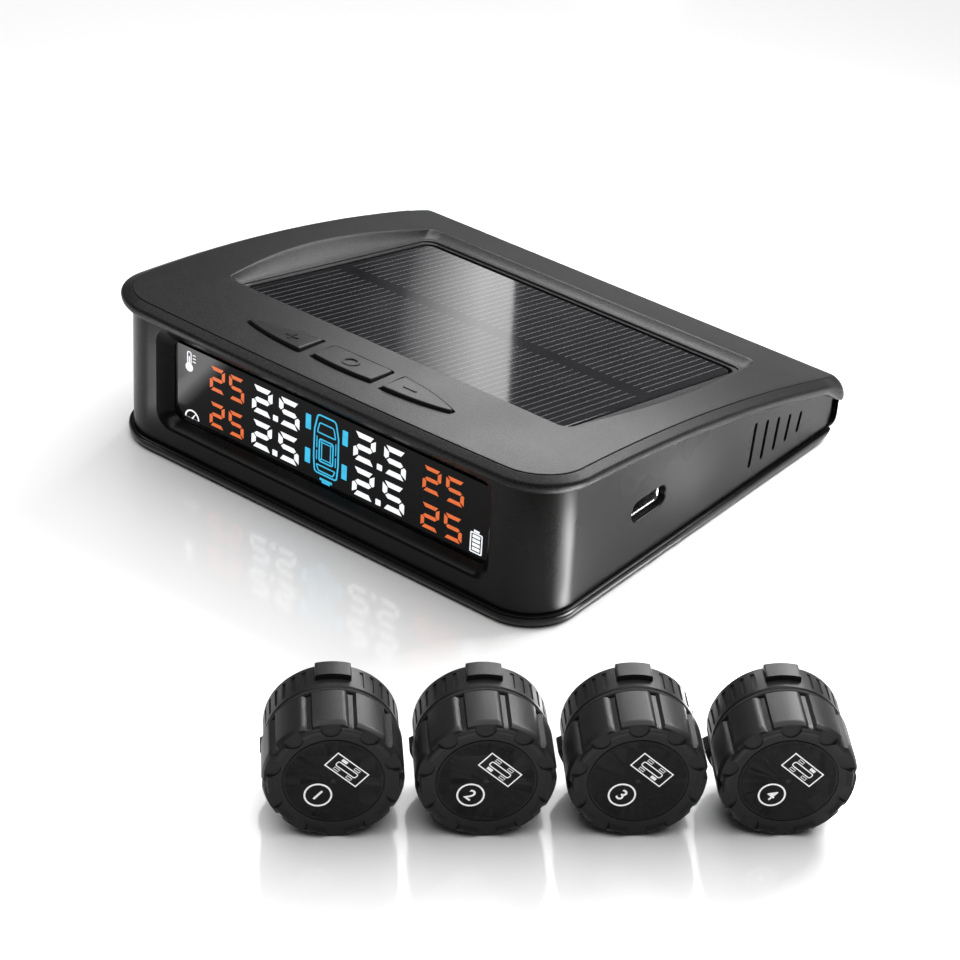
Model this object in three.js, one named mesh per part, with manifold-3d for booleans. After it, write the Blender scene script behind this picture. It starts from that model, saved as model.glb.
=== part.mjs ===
// Solar tyre pressure monitor: a wedge-shaped dashboard display and its four screw-on valve sensors.
//
// Millimetres. The origin is the centre of the display's resting face, +X is to the right of
// someone reading the screen, +Y runs away from the reader and +Z is up. The sensors lie in a row on
// the same surface in front of the display, each on the rim of its cap with its marked face forwards.
import * as THREE from 'three';
import * as BufferGeometryUtils from 'three/addons/utils/BufferGeometryUtils.js';
import Module from 'manifold-3d';

const wasm = await Module();
wasm.setup();

// ---- driving dimensions: the case --------------------------------------------------------------
const WIDTH = 86;
const FRONT_Y = -38.75;
const REAR_Y = 41.5;
const DEPTH = REAR_Y - FRONT_Y;
const FRONT_TOP = 25.7; // height of the top surface at its front edge
const REAR_TOP = 10.33; // and at its rear edge
const TOP_SAG = 2.57; // how far the top surface arches above the straight line between them
const FRONT_BOW = 0.5; // the cover's front edge is a shallow arc
const FRONT_CORNER = 9.5; // corner radii in plan
const REAR_CORNER = 2.8;
const NOSE_START = 34; // behind here the side rims close into the rounded rear
const NOSE_END = 40.5;
const NOSE_PARTING = 6.1; // the cover meets the bottom plate at this height round the rear
const GROUND_GAP = 0.2; // the anti-slip pad lifts the case by this much
const PART_GAP = 0.12; // clearance between case parts that meet

const COVER_SKIN = 2;
const COVER_RIM = 2.9; // height of the cover's rim at the sides and front
const COVER_RIM_REAR = 4.1;
const HOUSING_INSET = 1.7; // how far the housing stands inside the cover's edge
const HOUSING_REAR = 1.6; // and inside the rounded rear
const HOUSING_WALL = 2.2;
const FRONT_WALL = 2.75;
const PLATE_LIP_TOP = 2.1;
const PLATE_FLOOR = 1.9;

// ---- driving dimensions: solar panel, tilted about X ---------------------------------------------
const PANEL_FRONT = { y: -18.9, z: 22.2 };
const PANEL_REAR = { y: 26.1, z: 13.05 };
const PANEL_WIDTH = 60.6;
const PANEL_GLASS = 1;
const CELLS_THICK = 1.4;
const TRAY_DEPTH = 3; // pocket under the panel plane
const TRAY_FLOOR = 1.4;
const TURNED_GAP = 0.3; // clearance between pieces that share a tilted group

// ---- driving dimensions: screen, port, vents -----------------------------------------------------
const SCREEN_MOUTH = { halfWidth: 31.7, low: 5.4, high: 22.1, radius: 2.6 };
const SCREEN_VIEW = { halfWidth: 29.6, low: 6.7, high: 19.1, radius: 1.2 };
const SCREEN_DEPTH = 2.9; // from the mouth to where the sloping sides end, behind the window's seat
const MOUTH_LAND = 0.02; // square edge left at a mouth before its sides slope
const SCREEN_SEAT = 2.1; // wall left in front of the window at the case's sides
const LCD_HALF_WIDTH = 30.6;
const LCD_LOW = 5.9;
const LCD_HIGH = 19.5;
const WINDOW_THICK = 1;
const LCD_THICK = 1.8;
const BACKLIGHT_THICK = 2;

const PORT = { y: -11.4, z: 10.8, width: 8.4, height: 3.4 };
const SOCKET = { width: 7.8, height: 2.8, wall: 0.35, length: 5.2, mouthX: 40.7 };

const VENT_COUNT = 5;
const VENT_PITCH = 3.3;
const VENT_WIDTH = 0.8;
const VENT_FIRST = { topY: 16.4, topZ: 12.4, lowY: 15.6, lowZ: 4.7 };
const VENT_TOP_DROP = 0.9; // each vent's top is this much lower than the one before it
const VENT_LOW_RISE = 0.15;

// ---- driving dimensions: keys --------------------------------------------------------------------
const KEY_Y = -29.4;
const KEY_HALF_DEPTH = 2.8;
const KEY_GAP = 0.3;
const KEY_PROUD = 0.5;
const KEY_SKIN = 1.3; // thickness of the cover around the keys
const KEY_FLANGE = { top: -1.6, bottom: -2.3, lip: 0.8 };
const STEM = { radius: 0.9, top: -2.4, bottom: -3.4 };
const SWITCH = { top: -3, bottom: -4.4, half: 2.3, hole: 1.15, holeFloor: -4.1 };
const KEY_BOARD = { top: -4.5, bottom: -5.3, halfWidth: 21, front: -3.4, rear: 3.6 };
const KEYS = {
  plus: { outer: -19.4, inner: -8.1, stemX: -11.5 },
  set: { left: -5.8, right: 5.2, stemX: -0.3 },
  minus: { outer: 18.8, inner: 7.5, stemX: 10.9 },
};

// ---- driving dimensions: boards and what they carry -----------------------------------------------
const BOARD = { x: 37, front: -20.5, rear: 4.4, bottom: 8.2, top: 9.4 };
const BATTERY = { x: 25, front: 5.6, rear: 31, bottom: 2.2, top: 6.7 };
const BOSS = { x: 35.8, frontY: -23.5, rearY: 30.5, radius: 2.5, bottom: 3.4, bore: 0.9 };
const SCREW = { head: 1.9, headHeight: 1.2, shank: 0.75, length: 7.5, seat: 1.5 };
const PAD = { halfX: 30, halfY: 24, radius: 4, thickness: 1 };

// ---- driving dimensions: the sensors ---------------------------------------------------------------
const SENSOR_COUNT = 4;
const SENSOR_PITCH = 19.2;
const SENSOR_ROW = { x: 61, y: -60.3 }; // middle of the row, at the valve mouths
const SENSOR_ROW_ANGLE = 42.3; // degrees from +X
const CAP = { radius: 9, bottom: 6.2, top: 13.6, bore: 8.15, roof: 1.1, grips: 10, notch: 0.5 };
const BASE = { radius: 8.7, shoulder: 5.2, neck: 7.9, neckTop: 9.3, bore: 7.1, floor: 8.0 };
const TABS = { count: 3, radius: 9.5, low: 0.9, high: 3.6, halfAngle: 16 };
const INSERT = { radius: 4.6, bore: 3.7, top: 7.2 };
const GASKET = { bottom: 6.3, top: 7.1, radius: 3.5, hole: 0.9 };
const SENSOR_BOARD = { radius: 6.8, bottom: 8.2, top: 8.9 };
const CELL = { radius: 6.25, bottom: 9.7, top: 12.2, rim: 0.5 };
const SEAL = { radius: 8.42, low: 5.35, high: 6.05, half: 0.36 };

// ---- colours and finishes -----------------------------------------------------------------------
const FINISH = {
  texturedBlack: { color: 0x1c1c1d, roughness: 0.6, metalness: 0 },
  satinBlack: { color: 0x141414, roughness: 0.38, metalness: 0 },
  glossBlack: { color: 0x050506, roughness: 0.08, metalness: 0 },
  capBlack: { color: 0x17171a, roughness: 0.45, metalness: 0 },
  solarGlass: { color: 0x101114, roughness: 0.05, metalness: 0 },
  silicon: { color: 0x0c0d12, roughness: 0.3, metalness: 0.2 },
  rubber: { color: 0x0d0d0d, roughness: 0.9, metalness: 0 },
  steel: { color: 0xb9babc, roughness: 0.25, metalness: 1 },
  brass: { color: 0xc19a4b, roughness: 0.3, metalness: 1 },
  circuitGreen: { color: 0x14512f, roughness: 0.45, metalness: 0 },
  chip: { color: 0x151515, roughness: 0.5, metalness: 0 },
  diffuser: { color: 0xe8e8e4, roughness: 0.4, metalness: 0 },
  foil: { color: 0xa8acb0, roughness: 0.35, metalness: 0.8 },
  copper: { color: 0xb87333, roughness: 0.3, metalness: 1 },
};

const device = new THREE.Group();

/** Adds a named piece to a group; every piece has a material of its own. */
function addPiece(name, geometry, finish, group = device) {
  const mesh = new THREE.Mesh(geometry, new THREE.MeshStandardMaterial(FINISH[finish]));
  mesh.name = name;
  group.add(mesh);
  return mesh;
}

// ---- solids --------------------------------------------------------------------------------------

/** A closed three.js geometry as a manifold solid. */
function toSolid(geometry) {
  const bare = geometry.clone();
  bare.deleteAttribute('normal');
  bare.deleteAttribute('uv');
  const merged = BufferGeometryUtils.mergeVertices(bare, 1e-4);
  return new wasm.Manifold(
    new wasm.Mesh({
      numProp: 3,
      vertProperties: new Float32Array(merged.attributes.position.array),
      triVerts: new Uint32Array(merged.index.array),
    }),
  );
}

/** A manifold solid as a three.js geometry. */
function toGeometry(solid) {
  const mesh = solid.getMesh();
  const geometry = new THREE.BufferGeometry();
  geometry.setAttribute('position', new THREE.BufferAttribute(new Float32Array(mesh.vertProperties), 3));
  geometry.setIndex(new THREE.BufferAttribute(new Uint32Array(mesh.triVerts), 1));
  geometry.computeVertexNormals();
  return geometry;
}

/** base with every solid in the list cut away. */
function cut(base, tools) {
  return tools.reduce((solid, tool) => solid.subtract(tool), base);
}

/** A box between two corners. */
function box(x0, x1, y0, y1, z0, z1) {
  const geometry = new THREE.BoxGeometry(x1 - x0, y1 - y0, z1 - z0);
  geometry.translate((x0 + x1) / 2, (y0 + y1) / 2, (z0 + z1) / 2);
  return geometry;
}

/** An upright cylinder. */
function cylinder(x, y, radius, z0, z1, segments = 16) {
  const geometry = new THREE.CylinderGeometry(radius, radius, z1 - z0, segments);
  geometry.rotateX(Math.PI / 2);
  geometry.translate(x, y, (z0 + z1) / 2);
  return geometry;
}

/** A plan outline raised from z0 to z1. */
function prism(shape, z0, z1, curveSegments = 4) {
  const geometry = new THREE.ExtrudeGeometry(shape, { depth: z1 - z0, bevelEnabled: false, curveSegments });
  geometry.translate(0, 0, z0);
  return geometry;
}

/** An outline drawn in the YZ plane, swept along X. */
function sideProfile(shape, x0, x1, curveSegments = 4) {
  const geometry = prism(shape, x0, x1, curveSegments);
  const turn = new THREE.Matrix4().makeBasis(
    new THREE.Vector3(0, 1, 0),
    new THREE.Vector3(0, 0, 1),
    new THREE.Vector3(1, 0, 0),
  );
  geometry.applyMatrix4(turn);
  return geometry;
}

/** A solid of revolution about Z from [radius, height] points that start and end on the axis or close. */
function lathe(points, segments = 24) {
  const geometry = new THREE.LatheGeometry(
    points.map(([radius, height]) => new THREE.Vector2(radius, height)),
    segments,
  );
  geometry.rotateX(Math.PI / 2);
  return geometry;
}

/** A rounded rectangle. */
function roundedRect(x0, x1, y0, y1, radius) {
  const shape = new THREE.Shape();
  shape.moveTo(x0 + radius, y0);
  shape.lineTo(x1 - radius, y0);
  shape.absarc(x1 - radius, y0 + radius, radius, -Math.PI / 2, 0);
  shape.lineTo(x1, y1 - radius);
  shape.absarc(x1 - radius, y1 - radius, radius, 0, Math.PI / 2);
  shape.lineTo(x0 + radius, y1);
  shape.absarc(x0 + radius, y1 - radius, radius, Math.PI / 2, Math.PI);
  shape.lineTo(x0, y0 + radius);
  shape.absarc(x0 + radius, y0 + radius, radius, Math.PI, Math.PI * 1.5);
  return shape;
}

/** Side walls between stacked rings of points, as triangle indices; each ring has count points. */
function wallTriangles(rings, count) {
  const triangles = [];
  for (let ring = 0; ring < rings - 1; ring += 1) {
    for (let i = 0; i < count; i += 1) {
      const a = ring * count + i;
      const b = ring * count + ((i + 1) % count);
      triangles.push(a, b, b + count, a, b + count, a + count);
    }
  }
  return triangles;
}

/**
 * A closed solid from stacked rings, lowest first, each counter-clockwise from above and mirrored
 * about the YZ plane: point i and point (count - i) lie at the same depth, so the end caps are
 * strips across the piece and follow its arched surface.
 */
function mirroredLoft(rings) {
  const count = rings[0].length;
  const triangles = wallTriangles(rings.length, count);
  const addCap = (first, flip) => {
    const quad = (a, b, c) => (flip ? triangles.push(a, c, b) : triangles.push(a, b, c));
    for (let i = 0; i < count / 2; i += 1) {
      const right = first + i;
      const nextRight = first + i + 1;
      const left = first + ((count - i) % count);
      const nextLeft = first + count - i - 1;
      if (left !== right) {
        quad(left, right, nextRight);
      }
      if (nextLeft !== nextRight) {
        quad(left, nextRight, nextLeft);
      }
    }
  };
  addCap(0, true);
  addCap((rings.length - 1) * count, false);
  const geometry = new THREE.BufferGeometry();
  geometry.setAttribute('position', new THREE.Float32BufferAttribute(rings.flat(2), 3));
  geometry.setIndex(triangles);
  return geometry;
}

/** A closed solid from rings of any outline, capped by fans about their centres. */
function fanLoft(rings) {
  const count = rings[0].length;
  const triangles = wallTriangles(rings.length, count);
  const points = rings.flat();
  const addFan = (first, flip) => {
    const ring = points.slice(first, first + count);
    const centre = [0, 1, 2].map((axis) => ring.reduce((sum, point) => sum + point[axis], 0) / count);
    points.push(centre);
    const hub = points.length - 1;
    for (let i = 0; i < count; i += 1) {
      const a = first + i;
      const b = first + ((i + 1) % count);
      triangles.push(hub, flip ? b : a, flip ? a : b);
    }
  };
  const lastRing = (rings.length - 1) * count;
  addFan(0, true);
  addFan(lastRing, false);
  const geometry = new THREE.BufferGeometry();
  geometry.setAttribute('position', new THREE.Float32BufferAttribute(points.flat(), 3));
  geometry.setIndex(triangles);
  return geometry;
}

// ---- the case outline ------------------------------------------------------------------------------

/** Height of the arched top surface at a depth y. */
function topHeight(y) {
  const t = (y - FRONT_Y) / DEPTH;
  return FRONT_TOP * (1 - t) + REAR_TOP * t + 4 * TOP_SAG * t * (1 - t);
}

/** Slope of the top surface at a depth y, in radians, negative where it falls away. */
function topSlope(y) {
  const step = 0.1;
  return Math.atan2(topHeight(y + step) - topHeight(y - step), 2 * step);
}

/** 0 along the sides and front, 1 round the rear end. */
function noseBlend(y) {
  return THREE.MathUtils.smoothstep(y, NOSE_START, NOSE_END);
}

/** The right half of the plan outline from the middle of the front to the middle of the rear. */
function halfOutline(bow) {
  const half = WIDTH / 2;
  const points = [];
  const frontSteps = bow > 0 ? 4 : 1;
  const straight = half - FRONT_CORNER;
  for (let i = 0; i < frontSteps; i += 1) {
    const x = (straight * i) / frontSteps;
    const y = FRONT_Y - bow * (1 - (x / straight) ** 2);
    points.push({ x, y, nx: 0, ny: 1 });
  }
  const addCorner = (cx, cy, radius, start, steps) => {
    for (let i = 0; i <= steps; i += 1) {
      const angle = start + ((Math.PI / 2) * i) / steps;
      const nx = -Math.cos(angle);
      const ny = -Math.sin(angle);
      points.push({ x: cx - nx * radius, y: cy - ny * radius, nx, ny });
    }
  };
  const sideStart = FRONT_Y + FRONT_CORNER;
  const sideEnd = REAR_Y - REAR_CORNER;
  addCorner(straight, sideStart, FRONT_CORNER, -Math.PI / 2, 6);
  const addSide = (from, to, steps) => {
    for (let i = 1; i < steps; i += 1) {
      points.push({ x: half, y: from + ((to - from) * i) / steps, nx: -1, ny: 0 });
    }
  };
  addSide(sideStart, NOSE_START, 10);
  points.push({ x: half, y: NOSE_START, nx: -1, ny: 0 });
  addSide(NOSE_START, sideEnd, 4);
  addCorner(half - REAR_CORNER, sideEnd, REAR_CORNER, 0, 3);
  points.push({ x: 0, y: REAR_Y, nx: 0, ny: -1 });
  return points;
}

/** The whole outline, moved inwards by inset(point) and set at height(point, y). */
function caseRing(inset, height, bow = 0) {
  const right = halfOutline(bow).map((point) => {
    const move = inset(point);
    const y = point.y + point.ny * move;
    return [point.x + point.nx * move, y, height(point, y)];
  });
  const left = right
    .slice(1, -1)
    .reverse()
    .map(([x, y, z]) => [-x, y, z]);
  return [...right, ...left];
}

/** An upright prism of the case outline, inset all round, between two heights. */
function casePrism(sideInset, frontInset, rearInset, z0, z1) {
  const half = WIDTH / 2 - sideInset;
  const front = FRONT_Y + frontInset;
  const rear = REAR_Y - rearInset;
  const frontRadius = FRONT_CORNER - sideInset;
  const rearRadius = Math.max(REAR_CORNER - sideInset, 0.6);
  const shape = new THREE.Shape();
  shape.moveTo(-half + frontRadius, front);
  shape.lineTo(half - frontRadius, front);
  shape.absarc(half - frontRadius, front + frontRadius, frontRadius, -Math.PI / 2, 0);
  shape.lineTo(half, rear - rearRadius);
  shape.absarc(half - rearRadius, rear - rearRadius, rearRadius, 0, Math.PI / 2);
  shape.lineTo(-half + rearRadius, rear);
  shape.absarc(-half + rearRadius, rear - rearRadius, rearRadius, Math.PI / 2, Math.PI);
  shape.lineTo(-half, front + frontRadius);
  shape.absarc(-half + frontRadius, front + frontRadius, frontRadius, Math.PI, Math.PI * 1.5);
  return prism(shape, z0, z1, 3);
}

/** Everything under the top surface lowered by drop, as a solid wider than the case. */
function belowTop(drop, steps = 14) {
  const shape = new THREE.Shape();
  const front = FRONT_Y - 1.5;
  const rear = REAR_Y + 1.5;
  shape.moveTo(front, -1);
  shape.lineTo(rear, -1);
  for (let i = 0; i <= steps; i += 1) {
    const y = THREE.MathUtils.lerp(rear, front, i / steps);
    shape.lineTo(y, topHeight(y) - drop);
  }
  return sideProfile(shape, -WIDTH, WIDTH);
}

/** The housing's flat front face, and the flat inside face that the screen window sits against. */
const housingFrontY = FRONT_Y + HOUSING_INSET + 0.1;
const screenSeatY = housingFrontY + SCREEN_SEAT;

// ---- solar panel group -------------------------------------------------------------------------------

const panelTilt = Math.atan2(PANEL_REAR.z - PANEL_FRONT.z, PANEL_REAR.y - PANEL_FRONT.y);
const panelLength = Math.hypot(PANEL_REAR.z - PANEL_FRONT.z, PANEL_REAR.y - PANEL_FRONT.y);
const panelGroup = new THREE.Group();
panelGroup.position.set(0, (PANEL_FRONT.y + PANEL_REAR.y) / 2, (PANEL_FRONT.z + PANEL_REAR.z) / 2);
panelGroup.rotation.x = panelTilt;
panelGroup.updateMatrix();
device.add(panelGroup);

/** A slab in the panel's own tilted frame, grown by margin beyond the glass, in the case's frame. */
function panelSlab(margin, low, high, radius) {
  const halfX = PANEL_WIDTH / 2 + margin;
  const halfY = panelLength / 2 + margin;
  const geometry = prism(roundedRect(-halfX, halfX, -halfY, halfY, radius), low, high, 3);
  geometry.applyMatrix4(panelGroup.matrix);
  return toSolid(geometry);
}

/** Height of the panel's face at a depth y. */
function panelHeight(y) {
  return PANEL_FRONT.z + Math.tan(panelTilt) * (y - PANEL_FRONT.y);
}

/** The sloping well in the cover: a ledge round the glass that opens to a bowed mouth at the surface. */
function solarWell() {
  const ledge = { x: 31.5, front: -19.9, rear: 27.6 };
  const mouth = { x: 32, bulge: 4.6, front: -21, rear: 30 };
  const sideSteps = 8;
  const ledgeRight = [];
  const mouthRight = [];
  for (let i = 0; i <= sideSteps; i += 1) {
    const t = i / sideSteps;
    ledgeRight.push([ledge.x, THREE.MathUtils.lerp(ledge.front, ledge.rear, t)]);
    mouthRight.push([
      mouth.x + mouth.bulge * Math.sin(Math.PI * (0.12 + 0.78 * t)) - mouth.bulge * 0.3,
      THREE.MathUtils.lerp(mouth.front, mouth.rear, t),
    ]);
  }
  const ring = (right, height) => {
    const left = right.map(([x, y]) => [-x, y]).reverse();
    const front = [0, right[0][1]];
    const rear = [0, right[right.length - 1][1]];
    return [front, ...right, rear, ...left].map(([x, y]) => [x, y, height(y)]);
  };
  return toSolid(
    mirroredLoft([
      ring(ledgeRight, (y) => panelHeight(y) + 0.1),
      ring(mouthRight, (y) => topHeight(y) + MOUTH_LAND),
      ring(mouthRight, (y) => topHeight(y) + 4),
    ]),
  );
}

// ---- key group: tangent to the top surface at the row of keys --------------------------------------------

const keyGroup = new THREE.Group();
keyGroup.position.set(0, KEY_Y, topHeight(KEY_Y));
keyGroup.rotation.x = topSlope(KEY_Y);
keyGroup.updateMatrix();
device.add(keyGroup);

/** A solid made in the keys' tilted frame, in the case's frame. */
function fromKeyFrame(geometry) {
  const placed = geometry.clone();
  placed.applyMatrix4(keyGroup.matrix);
  return toSolid(placed);
}

/** The middle key's outline: a rectangle whose front edge bows out, grown by margin. */
function setKeyShape(margin) {
  const { left, right } = KEYS.set;
  const depth = KEY_HALF_DEPTH + margin;
  const shape = new THREE.Shape();
  shape.moveTo(left - margin, -depth + 0.4);
  shape.quadraticCurveTo((left + right) / 2, -depth - 0.35, right + margin, -depth + 0.4);
  shape.lineTo(right + margin, depth);
  shape.lineTo(left - margin, depth);
  shape.closePath();
  return shape;
}

/** A leaf-shaped side key that tapers from its inner end to a blunt outer tip, grown by margin. */
function leafKeyShape({ outer, inner }, margin) {
  const side = Math.sign(outer);
  const tip = outer + side * margin;
  const foot = inner - side * margin;
  const depth = KEY_HALF_DEPTH + margin;
  const tipY = -0.7;
  const tipHalf = 0.35 + margin * 0.6;
  const points = new THREE.Shape();
  points.moveTo(foot, -depth);
  points.quadraticCurveTo((foot + tip) / 2 + side, -depth + 0.1, tip, tipY - tipHalf);
  points.lineTo(tip, tipY + tipHalf);
  points.quadraticCurveTo((foot + tip) / 2, depth - 0.5, foot, depth);
  points.closePath();
  return points;
}

const keyShapes = {
  plus: (margin) => leafKeyShape(KEYS.plus, margin),
  set: setKeyShape,
  minus: (margin) => leafKeyShape(KEYS.minus, margin),
};

/** The mark that stands on a key: a plus, a ring or a minus. */
function keyMark(name) {
  const low = KEY_PROUD - 0.05;
  const high = KEY_PROUD + 0.15;
  const x = KEYS[name].stemX;
  const barAlong = box(x - 1.1, x + 1.1, -0.55, -0.15, low, high);
  if (name === 'minus') {
    return [toSolid(barAlong)];
  }
  if (name === 'plus') {
    return [toSolid(barAlong), toSolid(box(x - 0.2, x + 0.2, -1.35, 0.65, low, high))];
  }
  const ring = new THREE.Shape().absarc(x, -0.2, 1.35, 0, Math.PI * 2);
  ring.holes.push(new THREE.Path().absarc(x, -0.2, 0.95, 0, Math.PI * 2, true));
  return [toSolid(prism(ring, low, high, 14))];
}

/** A key cap: chamfered top above the cover, body through it and a flange that holds it in. */
function keyCap(name) {
  const shapeOf = keyShapes[name];
  const chamfer = 0.3;
  const topBevel = { depth: 0.01, bevelEnabled: true, bevelThickness: chamfer, bevelSize: chamfer };
  const top = new THREE.ExtrudeGeometry(shapeOf(-chamfer), { ...topBevel, bevelSegments: 1, curveSegments: 6 });
  top.translate(0, 0, KEY_PROUD - chamfer);
  const body = prism(shapeOf(0), KEY_FLANGE.top - 0.1, KEY_PROUD - chamfer, 6);
  const flange = prism(shapeOf(KEY_FLANGE.lip), KEY_FLANGE.bottom, KEY_FLANGE.top, 4);
  const solids = [toSolid(top), toSolid(flange), ...keyMark(name)];
  return toGeometry(solids.reduce((sum, solid) => sum.add(solid), toSolid(body)));
}

// ---- case parts ----------------------------------------------------------------------------------------

/** Outer form of the cover: a rim that rolls over from the top surface and tucks in underneath. */
function coverOuter() {
  const sideRoll = [
    [1.15, 2.9],
    [0.45, 2.35],
    [0.08, 1.7],
    [0, 1.1],
    [0.25, 0.5],
    [0.75, 0.13],
    [1.6, 0],
  ];
  const rearRoll = [
    [0.3, COVER_RIM_REAR],
    [0.06, 3.7],
    [0, 3.2],
    [0.2, 2.1],
    [0.75, 1.1],
    [1.5, 0.42],
    [2.4, 0],
  ];
  const rings = sideRoll.map(([inset, drop], i) => {
    const blend = ({ y }) => noseBlend(y);
    return caseRing(
      (point) => THREE.MathUtils.lerp(inset, rearRoll[i][0], blend(point)),
      (point, y) => topHeight(y) - THREE.MathUtils.lerp(drop, rearRoll[i][1], blend(point)),
      FRONT_BOW,
    );
  });
  return toSolid(mirroredLoft(rings));
}

/** The top cover with its solar well, key openings and four screw bosses. */
function makeTopCover() {
  const underside = toSolid(casePrism(3.2, 3.6, 2.4, -1, 40)).intersect(toSolid(belowTop(COVER_SKIN)));
  const tray = panelSlab(2.2, -TRAY_DEPTH - TRAY_FLOOR, 6, 2);
  const hollow = underside.subtract(tray);
  const cuts = [hollow, housingOuter(PART_GAP), solarWell(), panelSlab(0.4, -TRAY_DEPTH, 0.4, 1.6)];
  for (const shapeOf of Object.values(keyShapes)) {
    cuts.push(fromKeyFrame(prism(shapeOf(KEY_GAP), -6, 3, 6)));
  }
  const pocket = roundedRect(KEYS.plus.outer - 1.6, KEYS.minus.outer + 1.6, -4.4, 4.4, 1);
  cuts.push(fromKeyFrame(prism(pocket, -7, -KEY_SKIN, 3)));
  let cover = cut(coverOuter(), cuts);
  for (const [x, y] of bossPlaces()) {
    const boss = toSolid(cylinder(x, y, BOSS.radius, BOSS.bottom, topHeight(y) - 1));
    cover = cover.add(boss).subtract(toSolid(cylinder(x, y, BOSS.bore, 0, BOSS.bottom + 7, 8)));
  }
  return toGeometry(cover);
}

function bossPlaces() {
  const places = [];
  for (const y of [BOSS.frontY, BOSS.rearY]) {
    for (const x of [-BOSS.x, BOSS.x]) {
      places.push([x, y]);
    }
  }
  return places;
}

/** The housing seen from the side, swept right across: open at the front and rounded at the rear. */
function sidePanel(grow) {
  const side = new THREE.Shape();
  const low = PLATE_LIP_TOP + PART_GAP - grow;
  const rear = REAR_Y - HOUSING_REAR + grow;
  const roundness = 3;
  side.moveTo(-DEPTH, low);
  side.lineTo(rear - roundness, low);
  side.absarc(rear - roundness, low + roundness, roundness, -Math.PI / 2, 0);
  side.lineTo(rear, 40);
  side.lineTo(-DEPTH, 40);
  side.closePath();
  return toSolid(sideProfile(side, -WIDTH, WIDTH));
}

/** Outer form of the housing, whose rear end is rounded between the cover and the bottom plate. */
function housingOuter(grow) {
  const walls = casePrism(HOUSING_INSET - grow, HOUSING_INSET + 0.1 - grow, HOUSING_REAR - grow, 0.5, 30);
  const top = belowTop(COVER_RIM + PART_GAP - grow);
  return toSolid(walls).intersect(toSolid(top)).intersect(sidePanel(grow));
}

/** The bevelled mouth in front of the screen and the opening behind it. */
function screenOpening() {
  const cornerSteps = 3;
  const ring = ({ halfWidth, low, high, radius }, y) => {
    const outline = roundedRect(-halfWidth, halfWidth, low, high, radius).getPoints(cornerSteps);
    return outline.slice(0, -1).map((point) => [point.x, y, point.y]);
  };
  return toSolid(
    fanLoft([
      ring(SCREEN_VIEW, -20),
      ring(SCREEN_VIEW, housingFrontY + SCREEN_DEPTH),
      ring(SCREEN_MOUTH, housingFrontY + MOUTH_LAND),
      ring(SCREEN_MOUTH, housingFrontY - 3),
    ]),
  );
}

/** A slot with round ends through a side wall, from (lowY, lowZ) to (topY, topZ). */
function ventCut({ topY, topZ, lowY, lowZ }) {
  const lean = Math.atan2(topY - lowY, topZ - lowZ);
  const length = Math.hypot(topY - lowY, topZ - lowZ);
  const radius = VENT_WIDTH / 2;
  const slot = new THREE.Shape();
  slot.absarc(0, length / 2 - radius, radius, 0, Math.PI);
  slot.absarc(0, -length / 2 + radius, radius, Math.PI, Math.PI * 2);
  const geometry = sideProfile(slot, -WIDTH, WIDTH, 3);
  geometry.rotateX(-lean);
  geometry.translate(0, (topY + lowY) / 2, (topZ + lowZ) / 2);
  return toSolid(geometry);
}

/** The housing: a wall all round with the screen mouth, the charging port and the vents. */
function makeHousing() {
  const inner = toSolid(
    casePrism(HOUSING_INSET + HOUSING_WALL, HOUSING_INSET + 0.1 + FRONT_WALL, 3.6, -1, 40),
  );
  const portShape = roundedRect(
    PORT.y - PORT.width / 2,
    PORT.y + PORT.width / 2,
    PORT.z - PORT.height / 2,
    PORT.z + PORT.height / 2,
    1.4,
  );
  const seatHalf = LCD_HALF_WIDTH + 0.6;
  const seat = toSolid(box(-seatHalf, seatHalf, screenSeatY, -20, -1, 40));
  const cuts = [inner, seat, screenOpening(), toSolid(sideProfile(portShape, 30, WIDTH))];
  for (let i = 0; i < VENT_COUNT; i += 1) {
    cuts.push(
      ventCut({
        topY: VENT_FIRST.topY + i * VENT_PITCH,
        topZ: VENT_FIRST.topZ - i * VENT_TOP_DROP,
        lowY: VENT_FIRST.lowY + i * VENT_PITCH,
        lowZ: VENT_FIRST.lowZ + i * VENT_LOW_RISE,
      }),
    );
  }
  return toGeometry(cut(housingOuter(0), cuts));
}

/** The underside seen from the side, swept right across: flat, then rising into the rounded rear. */
function aboveUnderside() {
  const side = new THREE.Shape();
  side.moveTo(FRONT_Y - 2, GROUND_GAP);
  side.lineTo(REAR_Y - 8, GROUND_GAP);
  side.quadraticCurveTo(REAR_Y - 4, GROUND_GAP + 0.4, REAR_Y - 1.7, 3.2);
  side.quadraticCurveTo(REAR_Y - 0.4, 4.6, REAR_Y - 0.2, NOSE_PARTING);
  side.lineTo(FRONT_Y - 2, NOSE_PARTING);
  side.closePath();
  return toSolid(sideProfile(side, -WIDTH, WIDTH, 5));
}

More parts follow.
